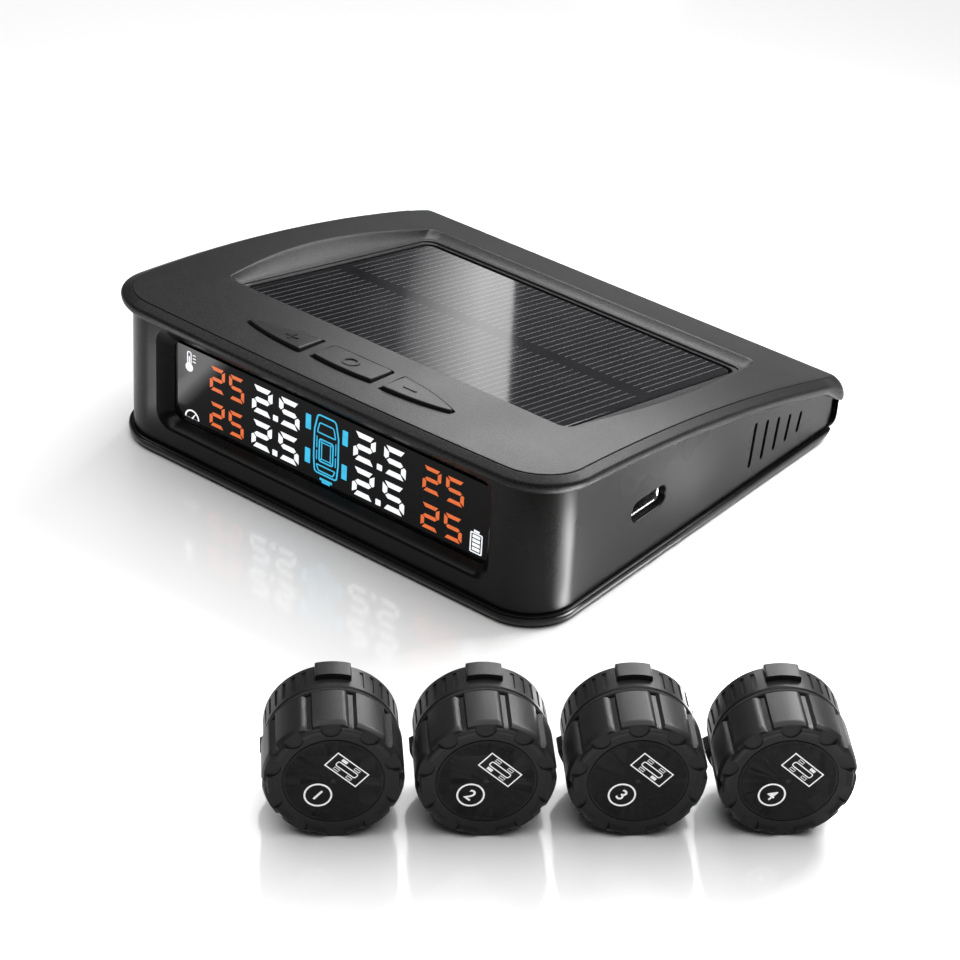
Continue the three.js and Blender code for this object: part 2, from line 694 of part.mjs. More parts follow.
/** The bottom plate: a lip round the foot of the housing that rises into the rounded rear end. */
function makeBottomPlate() {
  const lipRoll = [
    [1.9, 0],
    [1.9, GROUND_GAP],
    [1.15, 0.6],
    [0.95, 1.3],
    [1.1, PLATE_LIP_TOP],
    [1.1, NOSE_PARTING + 1],
  ];
  const rings = lipRoll.map(([inset, height]) =>
    caseRing(
      ({ ny }) => THREE.MathUtils.lerp(inset, 0.2, Math.max(0, -ny)),
      () => height,
    ),
  );
  let plate = toSolid(mirroredLoft(rings)).intersect(aboveUnderside());
  const wall = HOUSING_INSET + HOUSING_WALL;
  const inside = casePrism(wall, HOUSING_INSET + FRONT_WALL, 7, PLATE_FLOOR, 20);
  const padSeat = roundedRect(
    -PAD.halfX - 0.3,
    PAD.halfX + 0.3,
    -PAD.halfY - 0.3,
    PAD.halfY + 0.3,
    PAD.radius,
  );
  plate = cut(plate, [
    sidePanel(PART_GAP),
    toSolid(inside),
    toSolid(prism(padSeat, -1, PAD.thickness + 0.1)),
  ]);
  for (const [x, y] of boardPosts()) {
    plate = plate.add(toSolid(cylinder(x, y, 1.8, PLATE_FLOOR - 0.5, BOARD.bottom - 0.1, 10)));
  }
  for (const [x, y] of bossPlaces()) {
    plate = plate.add(toSolid(cylinder(x, y, BOSS.radius, PLATE_FLOOR - 0.5, BOSS.bottom - 0.1)));
    plate = cut(plate, [
      toSolid(cylinder(x, y, SCREW.head + 0.2, -1, SCREW.seat, 12)),
      toSolid(cylinder(x, y, SCREW.shank + 0.2, 0, 5, 8)),
    ]);
  }
  return toGeometry(plate);
}

function boardPosts() {
  const inset = 3;
  const places = [];
  for (const x of [-BOARD.x + inset, BOARD.x - inset]) {
    places.push([x, BOARD.rear - inset]);
  }
  places.push([-10, BOARD.front + inset], [10, BOARD.front + inset]);
  return places;
}

addPiece('top_cover', makeTopCover(), 'texturedBlack');
addPiece('housing', makeHousing(), 'satinBlack');
addPiece('bottom_plate', makeBottomPlate(), 'satinBlack');
addPiece(
  'anti_slip_pad',
  prism(roundedRect(-PAD.halfX, PAD.halfX, -PAD.halfY, PAD.halfY, PAD.radius), 0, PAD.thickness),
  'rubber',
);

bossPlaces().forEach(([x, y], i) => {
  const top = SCREW.seat - PART_GAP;
  const screw = lathe([
    [0, top - SCREW.headHeight + 0.3],
    [0.8, top - SCREW.headHeight],
    [SCREW.head, top - SCREW.headHeight + 0.3],
    [SCREW.head, top],
    [SCREW.shank, top],
    [SCREW.shank, top + SCREW.length - 0.8],
    [0, top + SCREW.length],
  ], 10);
  screw.translate(x, y, 0);
  addPiece(`case_screw_${i + 1}`, screw, 'steel');
});

// ---- solar panel ---------------------------------------------------------------------------------------

addPiece(
  'solar_glass',
  prism(
    roundedRect(-PANEL_WIDTH / 2, PANEL_WIDTH / 2, -panelLength / 2, panelLength / 2, 1.6),
    -PANEL_GLASS,
    0,
    3,
  ),
  'solarGlass',
  panelGroup,
);
const cellTop = -PANEL_GLASS - TURNED_GAP;
addPiece(
  'solar_cells',
  box(-29.2, 29.2, -panelLength / 2 + 1, panelLength / 2 - 1, cellTop - CELLS_THICK, cellTop),
  'silicon',
  panelGroup,
);

// ---- keys, their stems and switches -----------------------------------------------------------------------

for (const [name, { stemX }] of Object.entries(KEYS)) {
  addPiece(`${name}_button`, keyCap(name), 'texturedBlack', keyGroup);
  addPiece(`${name}_stem`, cylinder(stemX, 0, STEM.radius, STEM.bottom, STEM.top, 10), 'chip', keyGroup);
  const body = toSolid(
    box(stemX - SWITCH.half, stemX + SWITCH.half, -SWITCH.half, SWITCH.half, SWITCH.bottom, SWITCH.top),
  );
  const well = toSolid(cylinder(stemX, 0, SWITCH.hole, SWITCH.holeFloor, SWITCH.top + 1, 10));
  addPiece(`${name}_switch`, toGeometry(body.subtract(well)), 'steel', keyGroup);
}
addPiece(
  'key_board',
  box(
    -KEY_BOARD.halfWidth,
    KEY_BOARD.halfWidth,
    KEY_BOARD.front,
    KEY_BOARD.rear,
    KEY_BOARD.bottom,
    KEY_BOARD.top,
  ),
  'circuitGreen',
  keyGroup,
);

// ---- screen stack -----------------------------------------------------------------------------------------

const windowFront = screenSeatY + PART_GAP;
const lcdFront = windowFront + WINDOW_THICK + PART_GAP;
const backlightFront = lcdFront + LCD_THICK + PART_GAP;
const screenPiece = (name, front, thick, margin, finish) =>
  addPiece(
    name,
    box(
      -LCD_HALF_WIDTH + margin,
      LCD_HALF_WIDTH - margin,
      front,
      front + thick,
      LCD_LOW + margin,
      LCD_HIGH - margin,
    ),
    finish,
  );
screenPiece('screen_window', windowFront, WINDOW_THICK, 0, 'glossBlack');
screenPiece('lcd_panel', lcdFront, LCD_THICK, 0.4, 'glossBlack');
screenPiece('backlight', backlightFront, BACKLIGHT_THICK, 0.2, 'diffuser');

// ---- main board and what it carries --------------------------------------------------------------------------

addPiece('main_board', box(-BOARD.x, BOARD.x, BOARD.front, BOARD.rear, BOARD.bottom, BOARD.top), 'circuitGreen');
const onBoard = BOARD.top + PART_GAP;
addPiece('processor_chip', box(-4.5, 4.5, -16, -7, onBoard, onBoard + 1.1), 'chip');
addPiece('buzzer', cylinder(-20, -12, 4.5, onBoard, onBoard + 2.8, 18), 'chip');
addPiece('motion_switch', cylinder(-32, -14, 1.8, onBoard, onBoard + 3.6, 12), 'steel');

/** The aerial: a wire coil that lies along X above the board. */
function makeAntenna() {
  const turns = 4;
  const stepsPerTurn = 7;
  const coilRadius = 1.5;
  const pitch = 1.7;
  const points = [];
  for (let i = 0; i <= turns * stepsPerTurn; i += 1) {
    const angle = (i / stepsPerTurn) * Math.PI * 2;
    points.push(
      new THREE.Vector3(
        16 + (pitch * i) / stepsPerTurn,
        -2 + coilRadius * Math.cos(angle),
        onBoard + 2.1 + coilRadius * Math.sin(angle),
      ),
    );
  }
  const wire = new THREE.Shape().absarc(0, 0, 0.3, 0, Math.PI * 2);
  return new THREE.ExtrudeGeometry(wire, {
    extrudePath: new THREE.CatmullRomCurve3(points),
    steps: turns * stepsPerTurn,
    curveSegments: 3,
  });
}
addPiece('antenna_coil', makeAntenna(), 'copper');

/** The charging socket: a pressed metal shell, open to the right, with its plastic tongue. */
function makeSocket() {
  const section = (shrink) =>
    roundedRect(
      PORT.y - SOCKET.width / 2 + shrink,
      PORT.y + SOCKET.width / 2 - shrink,
      PORT.z - SOCKET.height / 2 + shrink,
      PORT.z + SOCKET.height / 2 - shrink,
      0.9 - shrink / 2,
    );
  const back = SOCKET.mouthX - SOCKET.length;
  const shell = toSolid(sideProfile(section(0), back, SOCKET.mouthX, 3));
  return toGeometry(
    shell.subtract(toSolid(sideProfile(section(SOCKET.wall), back + 0.5, SOCKET.mouthX + 1, 3))),
  );
}
addPiece('usb_socket', makeSocket(), 'steel');
addPiece(
  'usb_tongue',
  box(
    SOCKET.mouthX - SOCKET.length + 0.6,
    SOCKET.mouthX - 0.9,
    PORT.y - 2.4,
    PORT.y + 2.4,
    PORT.z + 0.1,
    PORT.z + 0.7,
  ),
  'chip',
);

addPiece(
  'battery_pack',
  prism(roundedRect(-BATTERY.x, BATTERY.x, BATTERY.front, BATTERY.rear, 1.5), BATTERY.bottom, BATTERY.top, 3),
  'foil',
);

/** The flat two-core lead from the solar cells down to the main board. */
function makeSolarLead() {
  const section = new THREE.Shape();
  section.moveTo(-0.35, -1);
  section.lineTo(0.35, -1);
  section.lineTo(0.35, 1);
  section.lineTo(-0.35, 1);
  section.closePath();
  const route = new THREE.CatmullRomCurve3([
    new THREE.Vector3(26, 0.4, 13),
    new THREE.Vector3(26, 0.5, 12),
    new THREE.Vector3(27, 0, 11),
    new THREE.Vector3(28, -0.6, 10.3),
    new THREE.Vector3(28, -0.6, onBoard + 0.1),
  ]);
  return new THREE.ExtrudeGeometry(section, { extrudePath: route, steps: 10 });
}
addPiece('solar_lead', makeSolarLead(), 'copper');

// ---- sensors ---------------------------------------------------------------------------------------------------

/** A sensor cap: a cup with a rounded top edge and notches between its ten grips. */
function makeCap() {
  const ring = (shrink, z) => {
    const points = [];
    for (let i = 0; i < CAP.grips; i += 1) {
      const start = (Math.PI * 2 * i) / CAP.grips;
      const corners = [
        [0, CAP.notch],
        [0.2, CAP.notch],
        [0.24, 0],
        [0.48, 0],
        [0.72, 0],
        [0.96, 0],
      ];
      for (const [share, depth] of corners) {
        const angle = start + (share * Math.PI * 2) / CAP.grips;
        const radius = CAP.radius - shrink - depth;
        points.push([radius * Math.cos(angle), radius * Math.sin(angle), z]);
      }
    }
    return points;
  };
  const outer = toSolid(
    fanLoft([
      ring(0, CAP.bottom),
      ring(0, CAP.top - 1.1),
      ring(0.35, CAP.top - 0.35),
      ring(1.2, CAP.top),
    ]),
  );
  const bore = toSolid(cylinder(0, 0, CAP.bore, CAP.bottom - 1, CAP.top - CAP.roof, 28));
  return toGeometry(outer.subtract(bore));
}

/** A sensor base: a cup with a threaded neck, a seat for the brass insert and three spanner tabs. */
function makeBase() {
  let base = toSolid(
    lathe(
      [
        [INSERT.radius + 0.08, 0],
        [BASE.radius - 0.7, 0],
        [BASE.radius, 0.7],
        [BASE.radius, BASE.shoulder],
        [BASE.neck, BASE.shoulder],
        [BASE.neck, BASE.neckTop],
        [BASE.bore, BASE.neckTop],
        [BASE.bore, BASE.floor],
        [INSERT.radius + 0.08, BASE.floor],
        [INSERT.radius + 0.08, 0],
      ],
      28,
    ),
  );
  for (let i = 0; i < TABS.count; i += 1) {
    const middle = Math.PI / 2 + (Math.PI * 2 * i) / TABS.count;
    const half = THREE.MathUtils.degToRad(TABS.halfAngle);
    const shape = new THREE.Shape();
    shape.absarc(0, 0, TABS.radius, middle - half, middle + half);
    shape.absarc(0, 0, BASE.radius - 1, middle + half, middle - half, true);
    base = base.add(toSolid(prism(shape, TABS.low, TABS.high, 4)));
  }
  return toGeometry(base);
}

/** A closed ring of rectangular section with its corners cut, about the sensor's axis. */
function ringSection(inner, outer, low, high, segments = 24) {
  return lathe([[inner, low], [outer, low], [outer, high], [inner, high], [inner, low]], segments);
}

/** The brass insert, bored from below and closed above but for the pin hole. */
function makeInsert() {
  return lathe(
    [
      [INSERT.bore, 0.1],
      [INSERT.radius, 0.1],
      [INSERT.radius, INSERT.top + 0.6],
      [1, INSERT.top + 0.6],
      [1, INSERT.top],
      [INSERT.bore, INSERT.top],
      [INSERT.bore, 0.1],
    ],
    16,
  );
}

function makeSeal() {
  const middle = (SEAL.low + SEAL.high) / 2;
  return lathe(
    [
      [SEAL.radius - SEAL.half, middle],
      [SEAL.radius - SEAL.half / 3, SEAL.low],
      [SEAL.radius + SEAL.half / 3, SEAL.low],
      [SEAL.radius + SEAL.half, middle],
      [SEAL.radius + SEAL.half / 3, SEAL.high],
      [SEAL.radius - SEAL.half / 3, SEAL.high],
      [SEAL.radius - SEAL.half, middle],
    ],
    20,
  );
}

function makeSensorBoard() {
  const disc = toSolid(cylinder(0, 0, SENSOR_BOARD.radius, SENSOR_BOARD.bottom, SENSOR_BOARD.top, 20));
  return toGeometry(disc.add(toSolid(box(-2.5, 2.5, -2.5, 2.5, SENSOR_BOARD.top - 0.1, 9.5))));
}

function makeCell() {
  return lathe(
    [
      [0, CELL.bottom],
      [CELL.radius - CELL.rim, CELL.bottom],
      [CELL.radius - CELL.rim, CELL.bottom + 0.5],
      [CELL.radius, CELL.bottom + 0.5],
      [CELL.radius, CELL.top],
      [0, CELL.top],
    ],
    22,
  );
}

const rowAngle = THREE.MathUtils.degToRad(SENSOR_ROW_ANGLE);
const alongRow = new THREE.Vector3(Math.cos(rowAngle), Math.sin(rowAngle), 0);
const sensorUp = new THREE.Vector3(0, 0, 1);
const sensorAxis = new THREE.Vector3().crossVectors(alongRow, sensorUp); // from the valve to the cap's face
for (let i = 0; i < SENSOR_COUNT; i += 1) {
  const offset = (i - (SENSOR_COUNT - 1) / 2) * SENSOR_PITCH;
  const placement = new THREE.Matrix4().makeBasis(alongRow, sensorUp, sensorAxis);
  placement.setPosition(
    SENSOR_ROW.x + offset * alongRow.x,
    SENSOR_ROW.y + offset * alongRow.y,
    CAP.radius,
  );
  const place = (geometry) => geometry.applyMatrix4(placement);
  const name = `sensor_${i + 1}`;
  addPiece(`${name}_cap`, place(makeCap()), 'capBlack');
  addPiece(`${name}_seal_ring`, place(makeSeal()), 'rubber');
  addPiece(`${name}_base`, place(makeBase()), 'capBlack');
  addPiece(`${name}_valve_insert`, place(makeInsert()), 'brass');
  addPiece(`${name}_gasket`, place(ringSection(GASKET.hole, GASKET.radius, GASKET.bottom, GASKET.top, 12)), 'rubber');
  addPiece(`${name}_board`, place(makeSensorBoard()), 'circuitGreen');
  addPiece(`${name}_coin_cell`, place(makeCell()), 'steel');
}

export default device;
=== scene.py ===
"""Solar tyre pressure monitor: the finished surfaces of the display and its four valve sensors.

Shapes are worked out in millimetres and turned into metres when an object is made. The frame is the
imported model's own: the origin is under the display, +X to a reader's right, +Y away, +Z up.
"""

import math

import bpy
import numpy as np
from mathutils import Matrix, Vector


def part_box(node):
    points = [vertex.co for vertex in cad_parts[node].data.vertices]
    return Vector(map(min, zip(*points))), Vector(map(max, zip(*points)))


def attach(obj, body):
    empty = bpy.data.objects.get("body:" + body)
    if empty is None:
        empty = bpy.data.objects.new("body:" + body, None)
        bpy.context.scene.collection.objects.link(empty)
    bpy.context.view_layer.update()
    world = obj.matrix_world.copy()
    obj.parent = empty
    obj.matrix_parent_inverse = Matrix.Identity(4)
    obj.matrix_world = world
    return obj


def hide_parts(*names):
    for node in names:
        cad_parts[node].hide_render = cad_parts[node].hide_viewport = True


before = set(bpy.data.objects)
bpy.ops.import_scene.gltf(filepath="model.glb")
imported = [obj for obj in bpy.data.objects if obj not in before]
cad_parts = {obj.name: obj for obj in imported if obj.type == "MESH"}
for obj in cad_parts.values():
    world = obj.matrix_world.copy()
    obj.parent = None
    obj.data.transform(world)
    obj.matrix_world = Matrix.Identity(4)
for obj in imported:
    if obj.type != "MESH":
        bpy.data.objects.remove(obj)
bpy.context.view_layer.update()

MM = 0.001


def box_mm(node):
    low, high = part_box(node)
    return np.array(low) / MM, np.array(high) / MM


# ---- driving dimensions, read from the frame where a node gives them ----
COVER_LOW, COVER_HIGH = box_mm("top_cover")
HALF_WIDTH = COVER_HIGH[0]
REAR_Y = COVER_HIGH[1]
FRONT_BOW = 0.5
FRONT_Y = COVER_LOW[1] + FRONT_BOW
DEPTH = REAR_Y - FRONT_Y
FRONT_TOP = 25.7
REAR_TOP = 10.33
TOP_SAG = 2.57
FRONT_CORNER = 9.5
REAR_CORNER = 2.8
NOSE_START = 34.0
NOSE_END = 40.5
NOSE_PARTING = 6.1
PART_GAP = 0.12
COVER_RIM = 2.9
HOUSING_INSET = 1.7
HOUSING_REAR = 1.6
HOUSING_WALL = 2.2
FRONT_WALL = 2.75
PLATE_TOP = 2.1

HOUSING_FRONT_Y = box_mm("housing")[0][1]
WINDOW_LOW, WINDOW_HIGH = box_mm("screen_window")
SCREEN_MOUTH = {"half": 31.7, "low": 5.4, "high": 22.1, "radius": 2.6}
SCREEN_VIEW = {"half": 29.6, "low": 6.7, "high": 19.1, "radius": 1.2}
SCREEN_DEPTH = 2.9

PANEL_FRONT = (-18.9, 22.2)
PANEL_REAR = (26.1, 13.05)
PANEL_HALF = 30.3
PANEL_TILT = math.atan2(PANEL_REAR[1] - PANEL_FRONT[1], PANEL_REAR[0] - PANEL_FRONT[0])
PANEL_LENGTH = math.hypot(PANEL_REAR[1] - PANEL_FRONT[1], PANEL_REAR[0] - PANEL_FRONT[0])

PORT = {"y": -11.4, "z": 10.8, "width": 8.4, "height": 3.4}
VENT_COUNT = 5
VENT_PITCH = 3.3
VENT_WIDTH = 0.8
BEYOND = 60  # cutters reach this far to each side

KEY_Y = -29.4
KEY_HALF_DEPTH = 2.8
KEY_GAP = 0.3
KEY_PROUD = 0.5
LEAF_KEYS = {"plus": (-19.4, -8.1), "minus": (18.8, 7.5)}
SET_KEY = (-5.8, 5.2)
KEY_MARK_X = {"plus": -11.5, "set": -0.3, "minus": 10.9}

CAP_RADIUS = 9.0
CAP_BOTTOM = 6.2
CAP_TOP = 13.6
GRIPS = 10


def top_height(y):
    """Height of the case's arched top surface at a depth y."""
    t = (y - FRONT_Y) / DEPTH
    return FRONT_TOP * (1 - t) + REAR_TOP * t + 4 * TOP_SAG * t * (1 - t)


def panel_height(y):
    return PANEL_FRONT[1] + math.tan(PANEL_TILT) * (y - PANEL_FRONT[0])


def smoothstep(x, low, high):
    t = min(1.0, max(0.0, (x - low) / (high - low)))
    return t * t * (3 - 2 * t)


def lerp(a, b, t):
    return a + (b - a) * t


# ---- materials ----


class Nodes:
    """A new node material and short ways to add to it."""

    def __init__(self, name):
        self.material = bpy.data.materials.new(name)
        self.material.use_nodes = True
        self.tree = self.material.node_tree
        self.shader = self.tree.nodes["Principled BSDF"]
        self.place = self.add("ShaderNodeTexCoord").outputs["Object"]

    def add(self, kind, **settings):
        node = self.tree.nodes.new(kind)
        for key, value in settings.items():
            setattr(node, key, value)
        return node

    def link(self, source, target):
        self.tree.links.new(source, target)

    def noise(self, size_mm, detail=2.0, rough=0.5):
        node = self.add("ShaderNodeTexNoise")
        node.inputs["Scale"].default_value = 1 / (size_mm * MM)
        node.inputs["Detail"].default_value = detail
        node.inputs["Roughness"].default_value = rough
        self.link(self.place, node.inputs["Vector"])
        return node.outputs["Fac"]

    def ranged(self, value, low, high, to_low, to_high):
        node = self.add("ShaderNodeMapRange")
        sockets = ("From Min", "From Max", "To Min", "To Max")
        for socket, number in zip(sockets, (low, high, to_low, to_high)):
            node.inputs[socket].default_value = number
        self.link(value, node.inputs["Value"])
        return node.outputs["Result"]

    def math(self, operation, a, b=None):
        node = self.add("ShaderNodeMath", operation=operation)
        for socket, value in zip(node.inputs, (a, b)):
            if value is None:
                continue
            if isinstance(value, (int, float)):
                socket.default_value = value
            else:
                self.link(value, socket)
        return node.outputs[0]

    def ramp(self, value, stops):
        """Colours along a value; stops are (position, (r, g, b))."""
        node = self.add("ShaderNodeValToRGB")
        elements = node.color_ramp.elements
        while len(elements) < len(stops):
            elements.new(0.5)
        for element, (position, colour) in zip(elements, stops):
            element.position = position
            element.color = (*colour, 1)
        self.link(value, node.inputs["Fac"])
        return node.outputs["Color"]

    def bump(self, height, depth_mm, strength=1.0):
        node = self.add("ShaderNodeBump")
        node.inputs["Strength"].default_value = strength
        node.inputs["Distance"].default_value = depth_mm * MM
        self.link(height, node.inputs["Height"])
        return node.outputs["Normal"]

    def set(self, **values):
        for key, value in values.items():
            self.shader.inputs[key.replace("_", " ")].default_value = value


def grey(value, warm=1.0):
    return (value * warm, value, value / warm)


def plastic(name, shade, roughness, grain, depth, speckle=0.25, specular=0.5, coat=0.0, coat_rough=0.1):
    """Moulded plastic: a fine grain in height and shade, and a slow unevenness in its sheen."""
    m = Nodes(name)
    fine = m.noise(grain, 3.0, 0.6)
    slow = m.noise(14.0, 2.0)
    low, high = shade * (1 - speckle), shade * (1 + speckle)
    m.link(m.ramp(fine, [(0.35, grey(low)), (0.65, grey(high))]), m.shader.inputs["Base Color"])
    m.link(m.ranged(slow, 0.3, 0.7, roughness - 0.03, roughness + 0.03), m.shader.inputs["Roughness"])
    m.link(m.bump(fine, depth), m.shader.inputs["Normal"])
    m.shader.inputs["Specular IOR Level"].default_value = specular
    m.shader.inputs["Coat Weight"].default_value = coat
    m.shader.inputs["Coat Roughness"].default_value = coat_rough
    return m.material


def metal(name, colour, roughness, scratch=0.25):
    """Bare metal with drawn or turned marks."""
    m = Nodes(name)
    marks = m.noise(scratch, 4.0, 0.65)
    slow = m.noise(3.0, 2.0)
    darker = tuple(c * 0.8 for c in colour)
    m.link(m.ramp(slow, [(0.3, darker), (0.7, colour)]), m.shader.inputs["Base Color"])
    m.link(m.ranged(marks, 0.3, 0.7, roughness - 0.08, roughness + 0.12), m.shader.inputs["Roughness"])
    m.link(m.bump(marks, 0.01, 0.5), m.shader.inputs["Normal"])
    m.set(Metallic=1.0)
    return m.material


def solar_material():
    """Dark cells under clear glass: fine collector lines along the depth, and a bare bus strip across."""
    m = Nodes("solar_panel_gloss")
    parts = m.add("ShaderNodeSeparateXYZ")
    m.link(m.place, parts.inputs[0])
    pitch, line, bus_y, bus_half = 1.28, 0.2, 3.6, 1.5
    across = m.math("FRACT", m.math("DIVIDE", m.math("ADD", parts.outputs["X"], 1.0), pitch * MM))
    wave = m.math("ABSOLUTE", m.math("SUBTRACT", across, 0.5))
    on_line = m.ranged(wave, line / 2, line / 2 - 0.06, 0.0, 1.0)
    from_bus = m.math("ABSOLUTE", m.math("SUBTRACT", parts.outputs["Y"], bus_y * MM))
    off_bus = m.ranged(from_bus, bus_half * MM, (bus_half + 0.15) * MM, 0.0, 1.0)
    from_side = m.math("ABSOLUTE", parts.outputs["X"])
    inside = m.ranged(from_side, (PANEL_HALF - 1.2) * MM, (PANEL_HALF - 1.1) * MM, 1.0, 0.0)
    lines = m.math("MULTIPLY", m.math("MULTIPLY", on_line, off_bus), inside)
    haze = m.ranged(m.noise(9.0, 2.0), 0.3, 0.7, 0.0, 0.05)
    shades = [(0.0, (0.0075, 0.0075, 0.0085)), (1.0, (0.06, 0.06, 0.063))]
    m.link(m.ramp(m.math("ADD", lines, haze), shades), m.shader.inputs["Base Color"])
    m.link(m.bump(m.noise(0.8), 0.002, 0.3), m.shader.inputs["Normal"])
    m.link(m.ranged(m.noise(20.0), 0.3, 0.7, 0.03, 0.06), m.shader.inputs["Roughness"])
    return m.material


def lit_material(name, colour, strength):
    """A lit segment behind the window: the lamp behind it is a little uneven. The sensors' print uses it too:
    there it is a painted glow, with no lamp behind it.
    """
    m = Nodes(name)
    glow = m.noise(0.9, 2.0)
    dim = tuple(c * 0.86 for c in colour)
    lit = m.ramp(glow, [(0.3, dim), (0.6, colour)])
    m.link(lit, m.shader.inputs["Emission Color"])
    m.set(Emission_Strength=strength, Base_Color=(0.02, 0.02, 0.02, 1))
    m.link(m.ranged(glow, 0.3, 0.7, 0.35, 0.5), m.shader.inputs["Roughness"])
    m.shader.inputs["Specular IOR Level"].default_value = 0.2
    return m.material


def window_material():
    m = Nodes("window_gloss")
    smudge = m.noise(6.0, 3.0)
    shades = [(0.3, (0.0012, 0.0012, 0.0018)), (0.7, (0.002, 0.002, 0.003))]
    m.link(m.ramp(smudge, shades), m.shader.inputs["Base Color"])
    m.link(m.ranged(smudge, 0.35, 0.75, 0.05, 0.1), m.shader.inputs["Roughness"])
    m.shader.inputs["Specular IOR Level"].default_value = 0.12
    return m.material


def board_material():
    """Green solder mask over copper tracks."""
    m = Nodes("circuit_board")
    cells = m.add("ShaderNodeTexVoronoi", feature="DISTANCE_TO_EDGE", distance="MANHATTAN")
    cells.inputs["Scale"].default_value = 1 / (2.2 * MM)
    m.link(m.place, cells.inputs["Vector"])
    track = m.ranged(cells.outputs["Distance"], 0.02, 0.05, 1.0, 0.0)
    shades = [(0.2, (0.006, 0.06, 0.028)), (0.8, (0.02, 0.13, 0.05))]
    m.link(m.ramp(track, shades), m.shader.inputs["Base Color"])
    m.link(m.bump(track, 0.03), m.shader.inputs["Normal"])
    m.link(m.ranged(m.noise(4.0), 0.3, 0.7, 0.3, 0.42), m.shader.inputs["Roughness"])
    return m.material


COVER = plastic("cover_grain", 0.012, 0.4, 0.3, 0.034, 0.5, 0.12)
KEY = plastic("key_grain", 0.013, 0.34, 0.2, 0.02, 0.2, 0.09)
HOUSING = plastic("housing_satin", 0.005, 0.28, 0.16, 0.004, 0.15, 0.14)
PLATE = plastic("plate_gloss", 0.004, 0.16, 0.3, 0.002, 0.15, 0.2)
CAP = plastic("sensor_grain", 0.014, 0.38, 0.2, 0.018, 0.2, 0.2)
LABEL = plastic("sensor_label", 0.04, 0.5, 0.12, 0.004, 0.12, 0.15)
RUBBER = plastic("rubber_matt", 0.014, 0.8, 0.35, 0.03, 0.3, 0.3)
CHIP = plastic("chip_epoxy", 0.018, 0.5, 0.12, 0.01, 0.2)
DIFFUSER = plastic("diffuser_white", 0.8, 0.45, 0.3, 0.005, 0.03)
SOCKET_PLASTIC = plastic("socket_tongue", 0.02, 0.4, 0.2, 0.006, 0.2)
STEEL = metal("steel_pressed", (0.72, 0.72, 0.73), 0.26)
BRASS = metal("brass_turned", (0.72, 0.5, 0.2), 0.28)
COPPER = metal("copper_drawn", (0.75, 0.36, 0.2), 0.3)
FOIL = metal("foil_crinkled", (0.6, 0.61, 0.63), 0.34, 1.2)
SOLAR = solar_material()
SILICON = plastic("silicon_dark", 0.012, 0.3, 0.5, 0.003, 0.3)
WINDOW = window_material()
BOARD = board_material()
# The sensors' print glows faintly through this material on top of its white base colour: painted light, since
# no lamp lies behind a cap's print.
GLOWING_PRINT = lit_material("print_white_glowing", (0.9, 0.9, 0.9), 0.35)
LIT_WHITE = lit_material("lit_white", (0.93, 0.96, 1.0), 1.15)
LIT_ORANGE = lit_material("lit_orange", (0.83, 0.16, 0.035), 1.0)
LIT_CYAN = lit_material("lit_cyan", (0.045, 0.56, 0.88), 1.0)
GLOWING_PRINT.node_tree.nodes["Principled BSDF"].inputs["Base Color"].default_value = (0.8, 0.8, 0.8, 1)


# ---- solids ----


class Solid:
    """Points in millimetres and faces, gathered before they become an object."""

    def __init__(self):
        self.points = []
        self.faces = []

    def add(self, points, faces, place=None):
        first = len(self.points)
        points = np.asarray(points, float)
        if place is not None:
            points = points @ place[:3, :3].T + place[:3, 3]
        self.points.extend(points.tolist())
        self.faces.extend([[i + first for i in face] for face in faces])
        return self

    def loft(self, rings, closed=False, place=None):
        """Rings of the same number of points, joined in order; closed joins the last to the first."""
        count = len(rings[0])
        total = len(rings)
        faces = []
        for r in range(total if closed else total - 1):
            s = (r + 1) % total
            for i in range(count):
                j = (i + 1) % count
                faces.append([r * count + i, r * count + j, s * count + j, s * count + i])
        if not closed:
            faces.append(list(range(count))[::-1])
            faces.append([(total - 1) * count + i for i in range(count)])
        return self.add(np.concatenate([np.asarray(r, float) for r in rings]), faces, place)

    def prism(self, outline, z0, z1, place=None):
        """A counter-clockwise outline of (x, y) raised from z0 to z1."""
        return self.loft([[(x, y, z) for x, y in outline] for z in (z0, z1)], place=place)

    def band(self, outer, inner, z0, z1, place=None):
        """A flat frame between two matched outlines."""
        rings = [(outer, z0), (outer, z1), (inner, z1), (inner, z0)]
        return self.loft([[(x, y, z) for x, y in ring] for ring, z in rings], closed=True, place=place)

    def lathe(self, profile, steps=96, closed=True, place=None):
        """(radius, height) points turned about Z; closed profiles make a ring, open ones are capped."""
        angles = [2 * math.pi * i / steps for i in range(steps)]
        rings = [[(r * math.cos(a), r * math.sin(a), z) for a in angles] for r, z in profile]
        return self.loft(rings, closed=closed, place=place)


def new_object(name, solid):
    mesh = bpy.data.meshes.new(name)
    mesh.from_pydata((np.array(solid.points) * MM).tolist(), [], solid.faces)
    mesh.update()
    obj = bpy.data.objects.new(name, mesh)
    bpy.context.scene.collection.objects.link(obj)
    return obj


def fix_facing(obj):
    """Turns the faces outwards where a loft ran the other way round."""
    mesh = obj.data
    count = len(mesh.polygons)
    centres = np.zeros(count * 3)
    normals = np.zeros(count * 3)
    areas = np.zeros(count)
    mesh.polygons.foreach_get("center", centres)
    mesh.polygons.foreach_get("normal", normals)
    mesh.polygons.foreach_get("area", areas)
    volume = ((centres.reshape(-1, 3) * normals.reshape(-1, 3)).sum(1) * areas).sum()
    if volume < 0:
        mesh.flip_normals()


